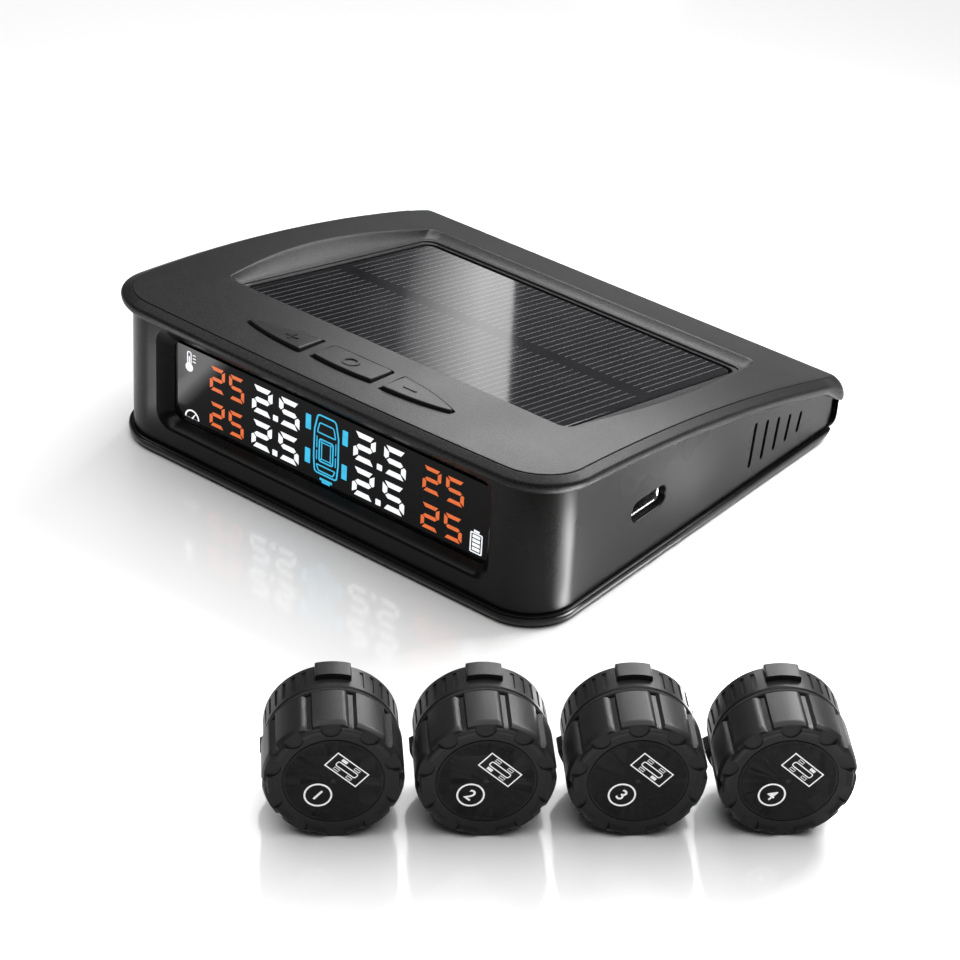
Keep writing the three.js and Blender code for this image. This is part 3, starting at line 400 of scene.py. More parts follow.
def cut(obj, steps):
    """Applies (operation, solid) steps to an object and leaves one plain mesh."""
    fix_facing(obj)
    cutters = []
    for operation, solid in steps:
        cutter = new_object("cutter", solid)
        fix_facing(cutter)
        modifier = obj.modifiers.new("cut", "BOOLEAN")
        modifier.operation = operation
        modifier.solver = "MANIFOLD"
        modifier.object = cutter
        cutters.append(cutter)
    graph = bpy.context.evaluated_depsgraph_get()
    mesh = bpy.data.meshes.new_from_object(obj.evaluated_get(graph))
    obj.modifiers.clear()
    old, obj.data = obj.data, mesh
    bpy.data.meshes.remove(old)
    for cutter in cutters:
        data = cutter.data
        bpy.data.objects.remove(cutter)
        bpy.data.meshes.remove(data)
    if not mesh.polygons:
        raise RuntimeError(f"{obj.name} came out empty")
    return obj


def finish_piece(obj, material, body, slot, *nodes, sharp=32):
    """Smooths, paints and seats a piece, and hides the CAD nodes that it stands for."""
    fix_facing(obj)
    mesh = obj.data
    mesh.materials.clear()
    mesh.materials.append(material)
    mesh.shade_smooth()
    mesh.set_sharp_from_angle(angle=math.radians(sharp))
    modifier = obj.modifiers.new("normals", "WEIGHTED_NORMAL")
    modifier.keep_sharp = True
    modifier.weight = 60
    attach(obj, body)
    if nodes:
        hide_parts(*nodes)
    return obj


def arc(cx, cy, radius, start, end, steps):
    """Points on an arc, angles in degrees."""
    angles = [math.radians(lerp(start, end, i / steps)) for i in range(steps + 1)]
    return [(cx + radius * math.cos(a), cy + radius * math.sin(a)) for a in angles]


def rounded_rect(x0, x1, y0, y1, radius, steps=8):
    return (
        arc(x1 - radius, y0 + radius, radius, -90, 0, steps)
        + arc(x1 - radius, y1 - radius, radius, 0, 90, steps)
        + arc(x0 + radius, y1 - radius, radius, 90, 180, steps)
        + arc(x0 + radius, y0 + radius, radius, 180, 270, steps)
    )


def rect(x0, x1, y0, y1):
    return [(x0, y0), (x1, y0), (x1, y1), (x0, y1)]


def circle(radius, steps=64, x=0.0, y=0.0):
    angles = np.linspace(0, 2 * math.pi, steps, False)
    return [(x + radius * math.cos(a), y + radius * math.sin(a)) for a in angles]


def inset_rect(low, high, axes, inset, radius, steps=8):
    """A rounded rectangle inside two of a box's axes."""
    a, b = axes
    return rounded_rect(low[a] + inset, high[a] - inset, low[b] + inset, high[b] - inset, radius, steps)


def side_sweep(outline, x0, x1):
    """An outline of (y, z) points swept along X."""
    return Solid().loft([[(x, y, z) for y, z in outline] for x in (x0, x1)])


# ---- the case outline ----
FRONT_STEPS, CORNER_STEPS, SIDE_STEPS, NOSE_STEPS, REAR_CORNER_STEPS, REAR_STEPS = 16, 18, 34, 10, 10, 12


def half_outline(bow=0.0):
    """Points and inward directions from the middle of the front round the right side to the rear."""
    straight = HALF_WIDTH - FRONT_CORNER
    rows = []
    for i in range(FRONT_STEPS):
        x = straight * i / FRONT_STEPS
        rows.append((x, FRONT_Y - bow * (1 - (x / straight) ** 2), 0.0, 1.0))

    def corner(cx, cy, radius, start, steps):
        for i in range(steps + 1):
            angle = math.radians(start + 90 * i / steps)
            c, s = math.cos(angle), math.sin(angle)
            rows.append((cx + c * radius, cy + s * radius, -c, -s))

    corner(straight, FRONT_Y + FRONT_CORNER, FRONT_CORNER, -90, CORNER_STEPS)
    start, end = FRONT_Y + FRONT_CORNER, REAR_Y - REAR_CORNER
    for i in range(1, SIDE_STEPS + 1):
        rows.append((HALF_WIDTH, lerp(start, NOSE_START, i / SIDE_STEPS), -1.0, 0.0))
    for i in range(1, NOSE_STEPS):
        rows.append((HALF_WIDTH, lerp(NOSE_START, end, i / NOSE_STEPS), -1.0, 0.0))
    corner(HALF_WIDTH - REAR_CORNER, end, REAR_CORNER, 0, REAR_CORNER_STEPS)
    for i in range(1, REAR_STEPS + 1):
        rows.append(((HALF_WIDTH - REAR_CORNER) * (1 - i / REAR_STEPS), REAR_Y, 0.0, -1.0))
    return rows


def mirror_ring(right):
    """Closes a right half, whose first and last points lie on the middle, with its mirror image."""
    left = [(-x, y, z) for x, y, z in right[1:-1]][::-1]
    return list(right) + left


def case_ring(inset, drop, bow=0.0):
    """The case outline moved inwards; inset and drop are (along the sides, round the rear)."""
    ring = []
    for x, y, nx, ny in half_outline(bow):
        t = smoothstep(y, NOSE_START, NOSE_END)
        move = lerp(*inset, t)
        py = y + ny * move
        ring.append((x + nx * move, py, top_height(py) - lerp(*drop, t)))
    return mirror_ring(ring)


def well_ring(x_at, front, rear, front_radius, rear_radius, height):
    """A ring with the same number of points as the case outline, round the solar well."""
    ring = []
    side_front = front + front_radius
    side_rear = rear - rear_radius
    x_front, x_rear = x_at(side_front), x_at(side_rear)
    for i in range(FRONT_STEPS):
        ring.append(((x_front - front_radius) * i / FRONT_STEPS, front))
    ring += arc(x_front - front_radius, side_front, front_radius, -90, 0, CORNER_STEPS)
    steps = SIDE_STEPS + NOSE_STEPS
    for i in range(1, steps):
        y = lerp(side_front, side_rear, i / steps)
        ring.append((x_at(y), y))
    ring += arc(x_rear - rear_radius, side_rear, rear_radius, 0, 90, REAR_CORNER_STEPS)
    for i in range(1, REAR_STEPS + 1):
        ring.append(((x_rear - rear_radius) * (1 - i / REAR_STEPS), rear))
    return mirror_ring([(x, y, height(y)) for x, y in ring])


def case_prism(side, front, rear, z0, z1, front_radius=None, steps=20):
    """An upright prism of the case outline, inset all round."""
    radius = FRONT_CORNER - side if front_radius is None else front_radius
    rear_radius = max(REAR_CORNER - side, 0.6)
    x, y0, y1 = HALF_WIDTH - side, FRONT_Y + front, REAR_Y - rear
    outline = (
        arc(x - radius, y0 + radius, radius, -90, 0, steps)
        + arc(x - rear_radius, y1 - rear_radius, rear_radius, 0, 90, 10)
        + arc(-x + rear_radius, y1 - rear_radius, rear_radius, 90, 180, 10)
        + arc(-x + radius, y0 + radius, radius, 180, 270, steps)
    )
    return Solid().prism(outline, z0, z1)


# ---- cover ----
# Each row is [inset, drop] along the sides and [inset, drop] round the rear, from the rim's foot up
# over the bright chamfered band and the fine crease beside it to the flat top.
COVER_ROLL = [
    ((3.2, 2.9), (2.3, 4.1)),
    ((1.35, 2.9), (0.45, 4.1)),
    ((1.15, 2.85), (0.28, 4.05)),
    ((0.55, 2.45), (0.14, 3.9)),
    ((0.2, 2.05), (0.06, 3.7)),
    ((0.05, 1.65), (0.0, 3.3)),
    ((0.0, 1.25), (0.02, 2.9)),
    ((0.04, 1.0), (0.08, 2.5)),
    ((0.17, 0.78), (0.2, 2.1)),
    ((0.36, 0.62), (0.42, 1.6)),
    ((1.42, 0.13), (0.75, 1.1)),
    ((1.54, 0.12), (1.1, 0.72)),
    ((1.6, 0.2), (1.5, 0.42)),
    ((1.72, 0.2), (1.8, 0.22)),
    ((1.8, 0.03), (2.15, 0.07)),
    ((1.95, 0.0), (2.5, 0.0)),
]
MOUTH_BULGE = 4.6
LEDGE_X = 31.5


def mouth_x(y, front=-21.0, rear=30.0):
    t = min(1.0, max(0.0, (y - front) / (rear - front)))
    return 32 + MOUTH_BULGE * (math.sin(math.pi * (0.12 + 0.78 * t)) - 0.3)


def well_rings():
    """From the rounded mouth down the hollow side walls to the ledge and the glass's slot."""
    mouth = {"front": -21.0, "rear": 30.0, "front_radius": 2.2, "rear_radius": 2.0}
    ledge = {"front": -19.9, "rear": 27.6, "front_radius": 1.9, "rear_radius": 1.9}

    def mixed(s, height, shrink=0.0):
        front, rear, *radii = (lerp(mouth[n], ledge[n], s) for n in mouth)

        def x_at(y):
            return lerp(mouth_x(y), LEDGE_X, s) - shrink

        return well_ring(x_at, front + shrink, rear - shrink, *radii, height)

    def wall_height(s):
        share = 1 - (1 - s) ** 1.7
        return lambda y: lerp(top_height(y) - 0.02, panel_height(y) + 0.42, share)

    rings = [mixed(-0.12, top_height), mixed(-0.05, lambda y: top_height(y) - 0.01)]
    rings += [mixed(s, wall_height(max(s, 0.0))) for s in (0.03, 0.1, 0.2, 0.32, 0.46, 0.62, 0.78, 0.92)]
    lip = [
        (0.0, 0.42), (0.1, 0.4), (0.18, 0.32), (0.2, 0.1), (0.28, 0.03), (0.8, 0.0),
        (0.82, -3.0), (-1.2, -3.4),
    ]
    rings += [mixed(1.0, lambda y, h=h: panel_height(y) + h, shrink) for shrink, h in lip]
    return rings


def key_frame():
    """The keys' own frame, tangent to the top surface at the row of keys."""
    slope = math.atan2(top_height(KEY_Y + 0.1) - top_height(KEY_Y - 0.1), 0.2)
    place = np.eye(4)
    place[1:3, 1:3] = [[math.cos(slope), -math.sin(slope)], [math.sin(slope), math.cos(slope)]]
    place[:3, 3] = (0, KEY_Y, top_height(KEY_Y))
    return place


def curve_points(start, control, end, steps=14):
    """A quadratic curve's points, without its end."""
    points = []
    for i in range(steps):
        t = i / steps
        a, b, c = (1 - t) ** 2, 2 * t * (1 - t), t * t
        points.append(tuple(a * p + b * q + c * r for p, q, r in zip(start, control, end)))
    return points


def soften(points, radius, steps=4):
    """Rounds the sharp corners of an outline."""
    result = []
    count = len(points)
    for i, here in enumerate(points):
        before, after = np.array(points[i - 1]), np.array(points[(i + 1) % count])
        here = np.array(here)
        to_before, to_after = before - here, after - here
        a, b = np.linalg.norm(to_before), np.linalg.norm(to_after)
        turn = math.degrees(math.acos(np.clip(-(to_before @ to_after) / (a * b), -1, 1)))
        if turn < 25:
            result.append(tuple(here))
            continue
        r = min(radius, a * 0.45, b * 0.45)
        start, end = here + to_before / a * r, here + to_after / b * r
        for k in range(steps + 1):
            t = k / steps
            result.append(tuple((1 - t) ** 2 * start + 2 * t * (1 - t) * here + t * t * end))
    return result


def key_outline(name, margin):
    depth = KEY_HALF_DEPTH + margin
    if name == "set":
        left, right = SET_KEY[0] - margin, SET_KEY[1] + margin
        low = -depth + 0.4
        points = curve_points((left, low), ((left + right) / 2, -depth - 0.35), (right, low))
        points += [(right, low), (right, depth), (left, depth)]
        return soften(points, 0.55 + margin * 0.5)
    outer, inner = LEAF_KEYS[name]
    side = math.copysign(1, outer)
    tip, foot = outer + side * margin, inner - side * margin
    tip_y, tip_half = -0.7, 0.35 + margin * 0.6
    middle = (foot + tip) / 2
    points = curve_points((foot, -depth), (middle + side, -depth + 0.1), (tip, tip_y - tip_half))
    points += [(tip, tip_y - tip_half)]
    points += curve_points((tip, tip_y + tip_half), (middle, depth - 0.5), (foot, depth))
    points += [(foot, depth)]
    if side < 0:
        points = points[::-1]
    return soften(points, 0.5 + margin * 0.5)


def inward(points, amount):
    """An outline moved inwards by an amount, point by point along its corner directions."""
    moved = []
    count = len(points)
    for i, here in enumerate(points):
        before, after = points[i - 1], points[(i + 1) % count]
        dx, dy = after[0] - before[0], after[1] - before[1]
        length = math.hypot(dx, dy) or 1
        moved.append((here[0] - dy / length * amount, here[1] + dx / length * amount))
    return moved


def make_cover():
    rings = [case_ring((s[0], r[0]), (s[1], r[1]), FRONT_BOW) for s, r in COVER_ROLL]
    well = well_rings()
    edge, mouth = np.array(rings[-1]), np.array(well[0])
    flat = []
    for t in (0.15, 0.3, 0.45, 0.6, 0.75, 0.9):
        ring = edge + (mouth - edge) * t
        ring[:, 2] = [top_height(y) for y in ring[:, 1]]
        flat.append(ring)
    inner = np.array(case_ring((3.2, 2.3), (2.0, 2.6), FRONT_BOW))
    rings = rings + flat + well + [inner]
    cover = new_object("cover_shell", Solid().loft(rings, closed=True))
    place = key_frame()
    steps = []
    for name in ("plus", "set", "minus"):
        outline = key_outline(name, KEY_GAP)
        flare = key_outline(name, KEY_GAP + 0.16)
        rings = [(outline, -6.0), (outline, -0.3), (outline, -0.14), (flare, 0.12), (flare, 3.0)]
        opening = Solid().loft([[(x, y, z) for x, y in o] for o, z in rings], place=place)
        steps.append(("DIFFERENCE", opening))
    cut(cover, steps)
    finish_piece(cover, COVER, "display", "cover_plastic", "top_cover", sharp=38)


def make_key(name):
    """A key cap: softly rounded edges, a top that rises a little to the front, and its raised mark."""
    outline = key_outline(name, 0.0)
    bevel = [(0.0, -1.6), (0.0, 0.02), (0.04, 0.14), (0.13, 0.23), (0.28, 0.28)]
    rings = []
    for amount, z in bevel:
        ring = inward(outline, amount)
        rise = smoothstep(z, -0.2, 0.28)
        rings.append([(x, y, z + rise * (0.12 - 0.05 * y)) for x, y in ring])
    solid = Solid().loft(rings, place=key_frame())
    flange = inward(outline, -0.7)
    solid.prism(flange, -2.3, -1.6, key_frame())
    key = new_object(f"{name}_key_cap", solid)
    finish_piece(key, KEY, f"{name}_key", "key_plastic", f"{name}_button")
    x = KEY_MARK_X[name]
    mark = Solid()
    base, top = KEY_PROUD - 0.3, KEY_PROUD + 0.06
    if name == "set":
        mark.band(circle(1.35, 48, x, -0.2), circle(0.95, 48, x, -0.2), base, top, key_frame())
    else:
        bars = [rect(x - 1.2, x + 1.2, -0.55, -0.15)]
        if name == "plus":
            bars.append(rect(x - 0.2, x + 0.2, -1.45, 0.75))
        for bar in bars:
            mark.prism(soften(bar, 0.12), base, top, key_frame())
    piece = new_object(f"{name}_key_mark", mark)
    finish_piece(piece, KEY, f"{name}_key", "key_plastic")


# ---- housing ----


def screen_cutter():
    """The sloping recess in front of the window, with a rounded mouth."""

    def ring(spec, y, grow=0.0):
        outline = rounded_rect(
            -spec["half"] - grow, spec["half"] + grow, spec["low"] - grow, spec["high"] + grow,
            spec["radius"] + grow, 10,
        )
        return [(x, y, z) for x, z in outline]

    def between(t, grow=0.0):
        spec = {k: lerp(SCREEN_MOUTH[k], SCREEN_VIEW[k], t) for k in SCREEN_MOUTH}
        return ring(spec, HOUSING_FRONT_Y + SCREEN_DEPTH * t, grow)

    rings = []
    for grow, depth in ((0.36, -3), (0.36, -0.02), (0.3, 0.02), (0.16, 0.08), (0.05, 0.18)):
        rings.append(ring(SCREEN_MOUTH, HOUSING_FRONT_Y + depth, grow))
    rings += [between(t) for t in (0.12, 0.4, 0.7, 1.0)]
    rings.append(ring(SCREEN_VIEW, -20))
    return Solid().loft(rings)


def vent_cutter(index):
    """One leaning slot with round ends, cut right through both side walls."""
    top = (16.4 + index * VENT_PITCH, 12.4 - index * 0.9)
    low = (15.6 + index * VENT_PITCH, 4.7 + index * 0.15)
    lean = math.atan2(top[0] - low[0], top[1] - low[1])
    half = math.hypot(top[0] - low[0], top[1] - low[1]) / 2 - VENT_WIDTH / 2
    slot = arc(0, half, VENT_WIDTH / 2, 0, 180, 8) + arc(0, -half, VENT_WIDTH / 2, 180, 360, 8)
    cy, cz = (top[0] + low[0]) / 2, (top[1] + low[1]) / 2
    c, s = math.cos(lean), math.sin(lean)
    outline = [(cy + y * c + z * s, cz - y * s + z * c) for y, z in slot]
    return side_sweep(outline, -BEYOND, BEYOND)


def make_housing():
    wall = HOUSING_INSET
    rear = REAR_Y - HOUSING_REAR
    low = PLATE_TOP + PART_GAP
    outer = new_object("case_wall", case_prism(wall, wall + 0.1, HOUSING_REAR, 0.5, 30))
    roundness = 3.0
    profile = [(FRONT_Y - 8, low)] + arc(rear - roundness, low + roundness, roundness, -90, 0, 16)
    profile.append((rear, top_height(rear) - COVER_RIM - PART_GAP))
    steps = 60
    for i in range(1, steps + 1):
        y = lerp(rear, FRONT_Y - 8, i / steps)
        profile.append((y, top_height(y) - COVER_RIM - PART_GAP))
    inner = case_prism(wall + HOUSING_WALL, wall + 0.1 + FRONT_WALL, 3.6, -1, 40)
    seat = Solid().prism(rect(-31.2, 31.2, -34.85, -20), -1, 40)
    port_half, port_high = PORT["width"] / 2, PORT["height"] / 2

    def port_ring(x, grow):
        outline = rounded_rect(
            PORT["y"] - port_half - grow, PORT["y"] + port_half + grow,
            PORT["z"] - port_high - grow, PORT["z"] + port_high + grow, 1.5 + grow, 8,
        )
        return [(x, y, z) for y, z in outline]

    wall_x = HALF_WIDTH - wall
    mouth = ((30, 0), (wall_x - 0.3, 0), (wall_x - 0.12, 0.05), (wall_x - 0.03, 0.14), (wall_x, 0.26),
             (BEYOND, 0.26))
    port = Solid().loft([port_ring(x, grow) for x, grow in mouth])
    steps = [
        ("INTERSECT", side_sweep(profile, -BEYOND, BEYOND)),
        ("DIFFERENCE", inner),
        ("DIFFERENCE", seat),
        ("DIFFERENCE", screen_cutter()),
        ("DIFFERENCE", port),
    ]
    steps += [("DIFFERENCE", vent_cutter(i)) for i in range(VENT_COUNT)]
    cut(outer, steps)
    finish_piece(outer, HOUSING, "display", "housing_plastic", "housing", sharp=30)


# ---- bottom plate, pad and screws ----


def plain_ring(side, rear, z):
    """The case outline at one height, inset by side along it and by rear at its straight rear edge."""
    ring = []
    for x, y, nx, ny in half_outline():
        move = lerp(side, rear, max(0.0, -ny))
        ring.append((x + nx * move, y + ny * move, z))
    return mirror_ring(ring)


def make_plate():
    roll = [
        (1.9, 0.0), (1.9, 0.2), (1.5, 0.27), (1.22, 0.5), (1.06, 0.85), (0.97, 1.25), (0.97, 1.6),
        (1.02, 1.85), (1.14, 2.02), (1.3, 2.09), (1.42, 2.1), (1.42, 7.1),
    ]
    rear_inset = ground = 0.2
    plate = new_object("base_plate", Solid().loft([plain_ring(inset, rear_inset, z) for inset, z in roll]))
    under = [(FRONT_Y - 2, ground), (REAR_Y - 8, ground)]
    bend, tip = (REAR_Y - 1.7, 3.2), (REAR_Y - 0.2, NOSE_PARTING)
    under += curve_points((REAR_Y - 8, ground), (REAR_Y - 4, ground + 0.4), bend, 16)[1:]
    under += curve_points(bend, (REAR_Y - 0.4, 4.6), tip, 12) + [tip, (FRONT_Y - 2, NOSE_PARTING)]
    rear = REAR_Y - HOUSING_REAR + PART_GAP
    low = PLATE_TOP
    above = [(FRONT_Y - 9, low)] + arc(rear - 3, low + 3, 3, -90, 0, 16) + [(rear, 40), (FRONT_Y - 9, 40)]
    inside = case_prism(HOUSING_INSET + HOUSING_WALL, HOUSING_INSET + FRONT_WALL, 7, 1.9, 20)
    pad_low, pad_high = box_mm("anti_slip_pad")
    seat = Solid().prism(inset_rect(pad_low, pad_high, (0, 1), -0.3, 4.3), -1, 1.1)
    steps = [
        ("INTERSECT", side_sweep(under, -BEYOND, BEYOND)),
        ("DIFFERENCE", side_sweep(above, -BEYOND, BEYOND)),
        ("DIFFERENCE", inside),
        ("DIFFERENCE", seat),
    ]
    for i in range(4):
        low_corner, high_corner = box_mm(f"case_screw_{i + 1}")
        x, y = (low_corner[:2] + high_corner[:2]) / 2
        ring = [(2.3, -1), (2.3, 0.2), (2.1, 0.4), (2.1, 1.5)]
        steps.append(("DIFFERENCE", Solid().lathe(ring, 40, False, shift(x, y, 0))))
    cut(plate, steps)
    finish_piece(plate, PLATE, "display", "plate_plastic", "bottom_plate", sharp=30)


def shift(x, y, z):
    place = np.eye(4)
    place[:3, 3] = (x, y, z)
    return place


def make_pad():
    low, high = box_mm("anti_slip_pad")
    rings = []
    for inset, z in ((0.5, 0.0), (0.15, 0.1), (0.0, 0.35), (0.0, 1.0)):
        outline = inset_rect(low, high, (0, 1), inset, 4 - inset, 12)
        rings.append([(x, y, z) for x, y in outline])
    pad = new_object("grip_pad", Solid().loft(rings))
    grooves = []
    count = 11
    for i in range(count):
        y = lerp(low[1] + 4, high[1] - 4, i / (count - 1))
        groove = soften(rect(low[0] + 4, high[0] - 4, y - 0.6, y + 0.6), 0.55)
        grooves.append(("DIFFERENCE", Solid().prism(groove, -1, 0.35)))
    cut(pad, grooves)
    finish_piece(pad, RUBBER, "display", "pad_rubber", "anti_slip_pad")


def make_screws():
    for i in range(4):
        low, high = box_mm(f"case_screw_{i + 1}")
        x, y = (low[:2] + high[:2]) / 2
        top = 1.38
        head = ((0.02, 1.15), (0.9, 1.2), (1.5, 1.1), (1.82, 0.85), (1.9, 0.5), (1.9, 0.0))
        profile = [(radius, top - down) for radius, down in head]
        z = top
        while z < high[2] - 1.0:
            profile += [(0.55, z), (0.75, z + 0.25), (0.55, z + 0.5)]
            z += 0.55
        profile += [(0.5, high[2] - 0.8), (0.02, high[2])]
        screw = new_object(f"cover_screw_{i + 1}", Solid().lathe(profile, 40, False, shift(x, y, 0)))
        cross = []
        for a, b in ((1.0, 0.17), (0.17, 1.0)):
            blade = Solid().prism(rect(-a, a, -b, b), top - 2, top - 0.6, shift(x, y, 0))
            cross.append(("DIFFERENCE", blade))
        cut(screw, cross)
        finish_piece(screw, STEEL, "display", "screw_steel", f"case_screw_{i + 1}")


# ---- solar panel ----


def panel_frame():
    place = np.eye(4)
    c, s = math.cos(PANEL_TILT), math.sin(PANEL_TILT)
    place[1:3, 1:3] = [[c, -s], [s, c]]
    place[:3, 3] = (0, (PANEL_FRONT[0] + PANEL_REAR[0]) / 2, (PANEL_FRONT[1] + PANEL_REAR[1]) / 2)
    return place


def make_panel():
    rings = []
    reach = np.array((PANEL_HALF, PANEL_LENGTH / 2))
    for inset, z in ((0.0, -1.0), (0.0, -0.28), (0.06, -0.14), (0.2, -0.03), (0.34, 0.0)):
        outline = inset_rect(-reach, reach, (0, 1), inset, 1.6 - inset, 12)
        rings.append([(x, y, z) for x, y in outline])
    glass = new_object("panel_glass", Solid().loft(rings, place=panel_frame()))
    finish_piece(glass, SOLAR, "display", "solar_glass", "solar_glass", sharp=50)


# ---- the screen and what it shows ----


def screen_place():
    """Drawing plane of the screen: x to the right, y up, z towards the reader."""
    place = np.eye(4)
    place[:3, :3] = [[1, 0, 0], [0, 0, -1], [0, 1, 0]]
    place[:3, 3] = (0, WINDOW_LOW[1], 0)
    return place


SEGMENT_LIFT = (0.0, 0.03)


def segment_outlines(w, h, s):
    """The seven segments of a digit, by letter, with mitred ends."""
    g = 0.16 * s
    e = 0.3 * s
    m = h / 2
    top = [(e + g, h), (s + g, h - s), (w - s - g, h - s), (w - e - g, h)]
    middle = [(0.5 * s + g, m), (s + g, m - s / 2), (w - s - g, m - s / 2), (w - 0.5 * s - g, m),
              (w - s - g, m + s / 2), (s + g, m + s / 2)]
    upper_left = [(0, h - e - g), (0, m + 0.3 * s + g), (0.42 * s, m + g), (s, m + s / 2 + g), (s, h - s - g)]
    flip_x = lambda shape: [(w - x, y) for x, y in shape][::-1]
    flip_y = lambda shape: [(x, h - y) for x, y in shape][::-1]
    return {
        "a": top, "d": flip_y(top), "g": middle, "f": upper_left, "e": flip_y(upper_left),
        "b": flip_x(upper_left), "c": flip_x(flip_y(upper_left)),
    }


DIGIT_SEGMENTS = {"2": "abged", "5": "afgcd"}


def add_number(solid, digits, x, y, w, h, s, pitch, point_x=None):
    shapes = segment_outlines(w, h, s)
    for i, digit in enumerate(digits):
        for letter in DIGIT_SEGMENTS[digit]:
            outline = [(x + i * pitch + px, y + py) for px, py in shapes[letter]]
            solid.prism(outline, *SEGMENT_LIFT, screen_place())
    if point_x is not None:
        half = 0.48
        add_bar(solid, point_x - half, point_x + half, y, y + 2 * half, 0.15)


def add_bar(solid, x0, x1, y0, y1, radius=0.12):
    solid.prism(soften(rect(x0, x1, y0, y1), radius), *SEGMENT_LIFT, screen_place())


def add_frame(solid, outline, thickness):
    solid.band(outline, inward(outline, thickness), *SEGMENT_LIFT, screen_place())


def make_screen():
    low, high = WINDOW_LOW, WINDOW_HIGH
    rings = []
    for inset, y in ((0.12, low[1]), (0.0, low[1] + 0.12), (0.0, high[1])):
        outline = inset_rect(low, high, (0, 2), inset, 0.4, 5)
        rings.append([(x, y, z) for x, z in outline])
    window = new_object("window_pane", Solid().loft(rings))
    finish_piece(window, WINDOW, "display", "window_glass", "screen_window")

    white, orange, cyan = Solid(), Solid(), Solid()
    for y in (13.7, 7.75):
        add_number(white, "25", -14.65, y, 4.0, 4.65, 0.84, 5.3, point_x=-10.0)
        add_number(white, "25", 5.0, y, 4.1, 4.75, 0.86, 5.7, point_x=9.95)
    for y in (13.95, 7.8):
        add_number(orange, "25", -23.1, y, 3.0, 4.15, 0.6, 3.85)
        add_number(orange, "25", 17.9, y, 3.3, 4.15, 0.62, 4.2)

    for x in (-3.65, 3.4):
        for y in (15.05, 9.3):
            add_bar(cyan, x - 0.5, x + 0.5, y, y + 2.5)
    add_bar(cyan, -1.2, 1.2, 7.35, 7.75)
    add_bar(cyan, -0.8, 0.8, 7.0, 7.3)
    body = [(-2.35, 8.3), (2.1, 8.3), (2.35, 11.0), (2.3, 15.6), (1.7, 18.4), (-1.95, 18.4), (-2.55, 15.6),
            (-2.6, 11.0)]
    add_frame(cyan, soften(body, 0.7, 6), 0.26)
    roof = soften(rect(-1.55, 1.3, 10.4, 14.4), 0.5, 5)
    add_frame(cyan, roof, 0.24)
    add_frame(cyan, inward(roof, 0.5), 0.16)
    windscreen = [(-2.0, 15.2), (1.75, 15.2), (1.3, 17.1), (-1.55, 17.1)]
    rear_screen = [(-1.6, 8.75), (1.35, 8.75), (1.8, 9.9), (-2.05, 9.9)]
    add_frame(cyan, soften(windscreen, 0.4, 4), 0.2)
    add_frame(cyan, soften(rear_screen, 0.3, 4), 0.2)
    for x in (-2.0, 1.62):
        add_bar(cyan, x, x + 0.16, 10.6, 12.2, 0.05)
        add_bar(cyan, x, x + 0.16, 12.6, 14.6, 0.05)

    add_frame(white, soften(rect(26.9, 29.1, 7.5, 10.9), 0.25), 0.2)
    add_bar(white, 27.5, 28.5, 11.0, 11.35, 0.08)
    for i in range(4):
        add_bar(white, 27.32, 28.68, 7.92 + 0.7 * i, 8.42 + 0.7 * i, 0.06)

    white.prism(circle(0.75, 28, -27.3, 16.05), *SEGMENT_LIFT, screen_place())
    add_frame(white, soften(rect(-27.75, -26.85, 16.6, 18.75), 0.42, 5), 0.18)
    add_bar(white, -27.42, -27.18, 16.6, 17.9, 0.05)
    for y in (17.15, 17.7, 18.25):
        add_bar(white, -26.6, -26.0, y, y + 0.16, 0.05)
    ring = arc(-26.7, 7.35, 1.45, 180, 0, 20)
    inner_ring = arc(-26.7, 7.35, 1.2, 180, 0, 20)
    white.band(ring[::-1], inner_ring[::-1], *SEGMENT_LIFT, screen_place())
    needle = [(-26.85, 7.3), (-26.55, 7.3), (-25.95, 8.25), (-26.05, 8.3)]
    white.prism(needle, *SEGMENT_LIFT, screen_place())

    for colour, solid, material in (("white", white, LIT_WHITE), ("orange", orange, LIT_ORANGE),
                                    ("cyan", cyan, LIT_CYAN)):
        finish_piece(new_object(f"readout_{colour}", solid), material, "display", "lcd")


# ---- charging socket ----


def make_socket():
    low, high = box_mm("usb_socket")
    wall = 0.35
    mouth = high[0] - 0.4
    back = low[0]
    profile = (
        (back, 0.3, 0.7), (back + 0.3, 0.0, 0.9), (mouth - 0.1, 0.0, 0.9), (mouth, 0.08, 0.85),
        (mouth, wall - 0.1, 0.72), (mouth - 0.12, wall, 0.7), (back + 0.5, wall, 0.7),
    )
    rings = []
    for x, shrink, radius in profile:
        rings.append([(x, y, z) for y, z in inset_rect(low, high, (1, 2), shrink, radius)])
    socket = new_object("port_shell", Solid().loft(rings))
    finish_piece(socket, STEEL, "display", "socket_steel", "usb_socket")


def sensor_places():
    """Each sensor's frame: x along the row, y up, z from the valve's mouth to the cap's marked face."""
    centres = []
    for i in range(4):
        low, high = box_mm(f"sensor_{i + 1}_cap")
        centres.append((low + high) / 2)
    along = (centres[3] - centres[0]) / np.linalg.norm(centres[3] - centres[0])
    axis = np.cross(along, (0, 0, 1))
    places = []
    for centre in centres:
        place = np.eye(4)
        place[:3, :3] = np.column_stack([along, (0, 0, 1), axis])
        place[:3, 3] = centre - axis * (CAP_BOTTOM + CAP_TOP) / 2
        places.append(place)
    return places


def seat_mesh(obj, place):
    """Moves a mesh that was made about the origin into a sensor's frame."""
    mesh = obj.data
    points = np.array([v.co for v in mesh.vertices]) / MM
    points = points @ place[:3, :3].T + place[:3, 3]
    mesh.vertices.foreach_set("co", (points * MM).ravel())
    mesh.update()


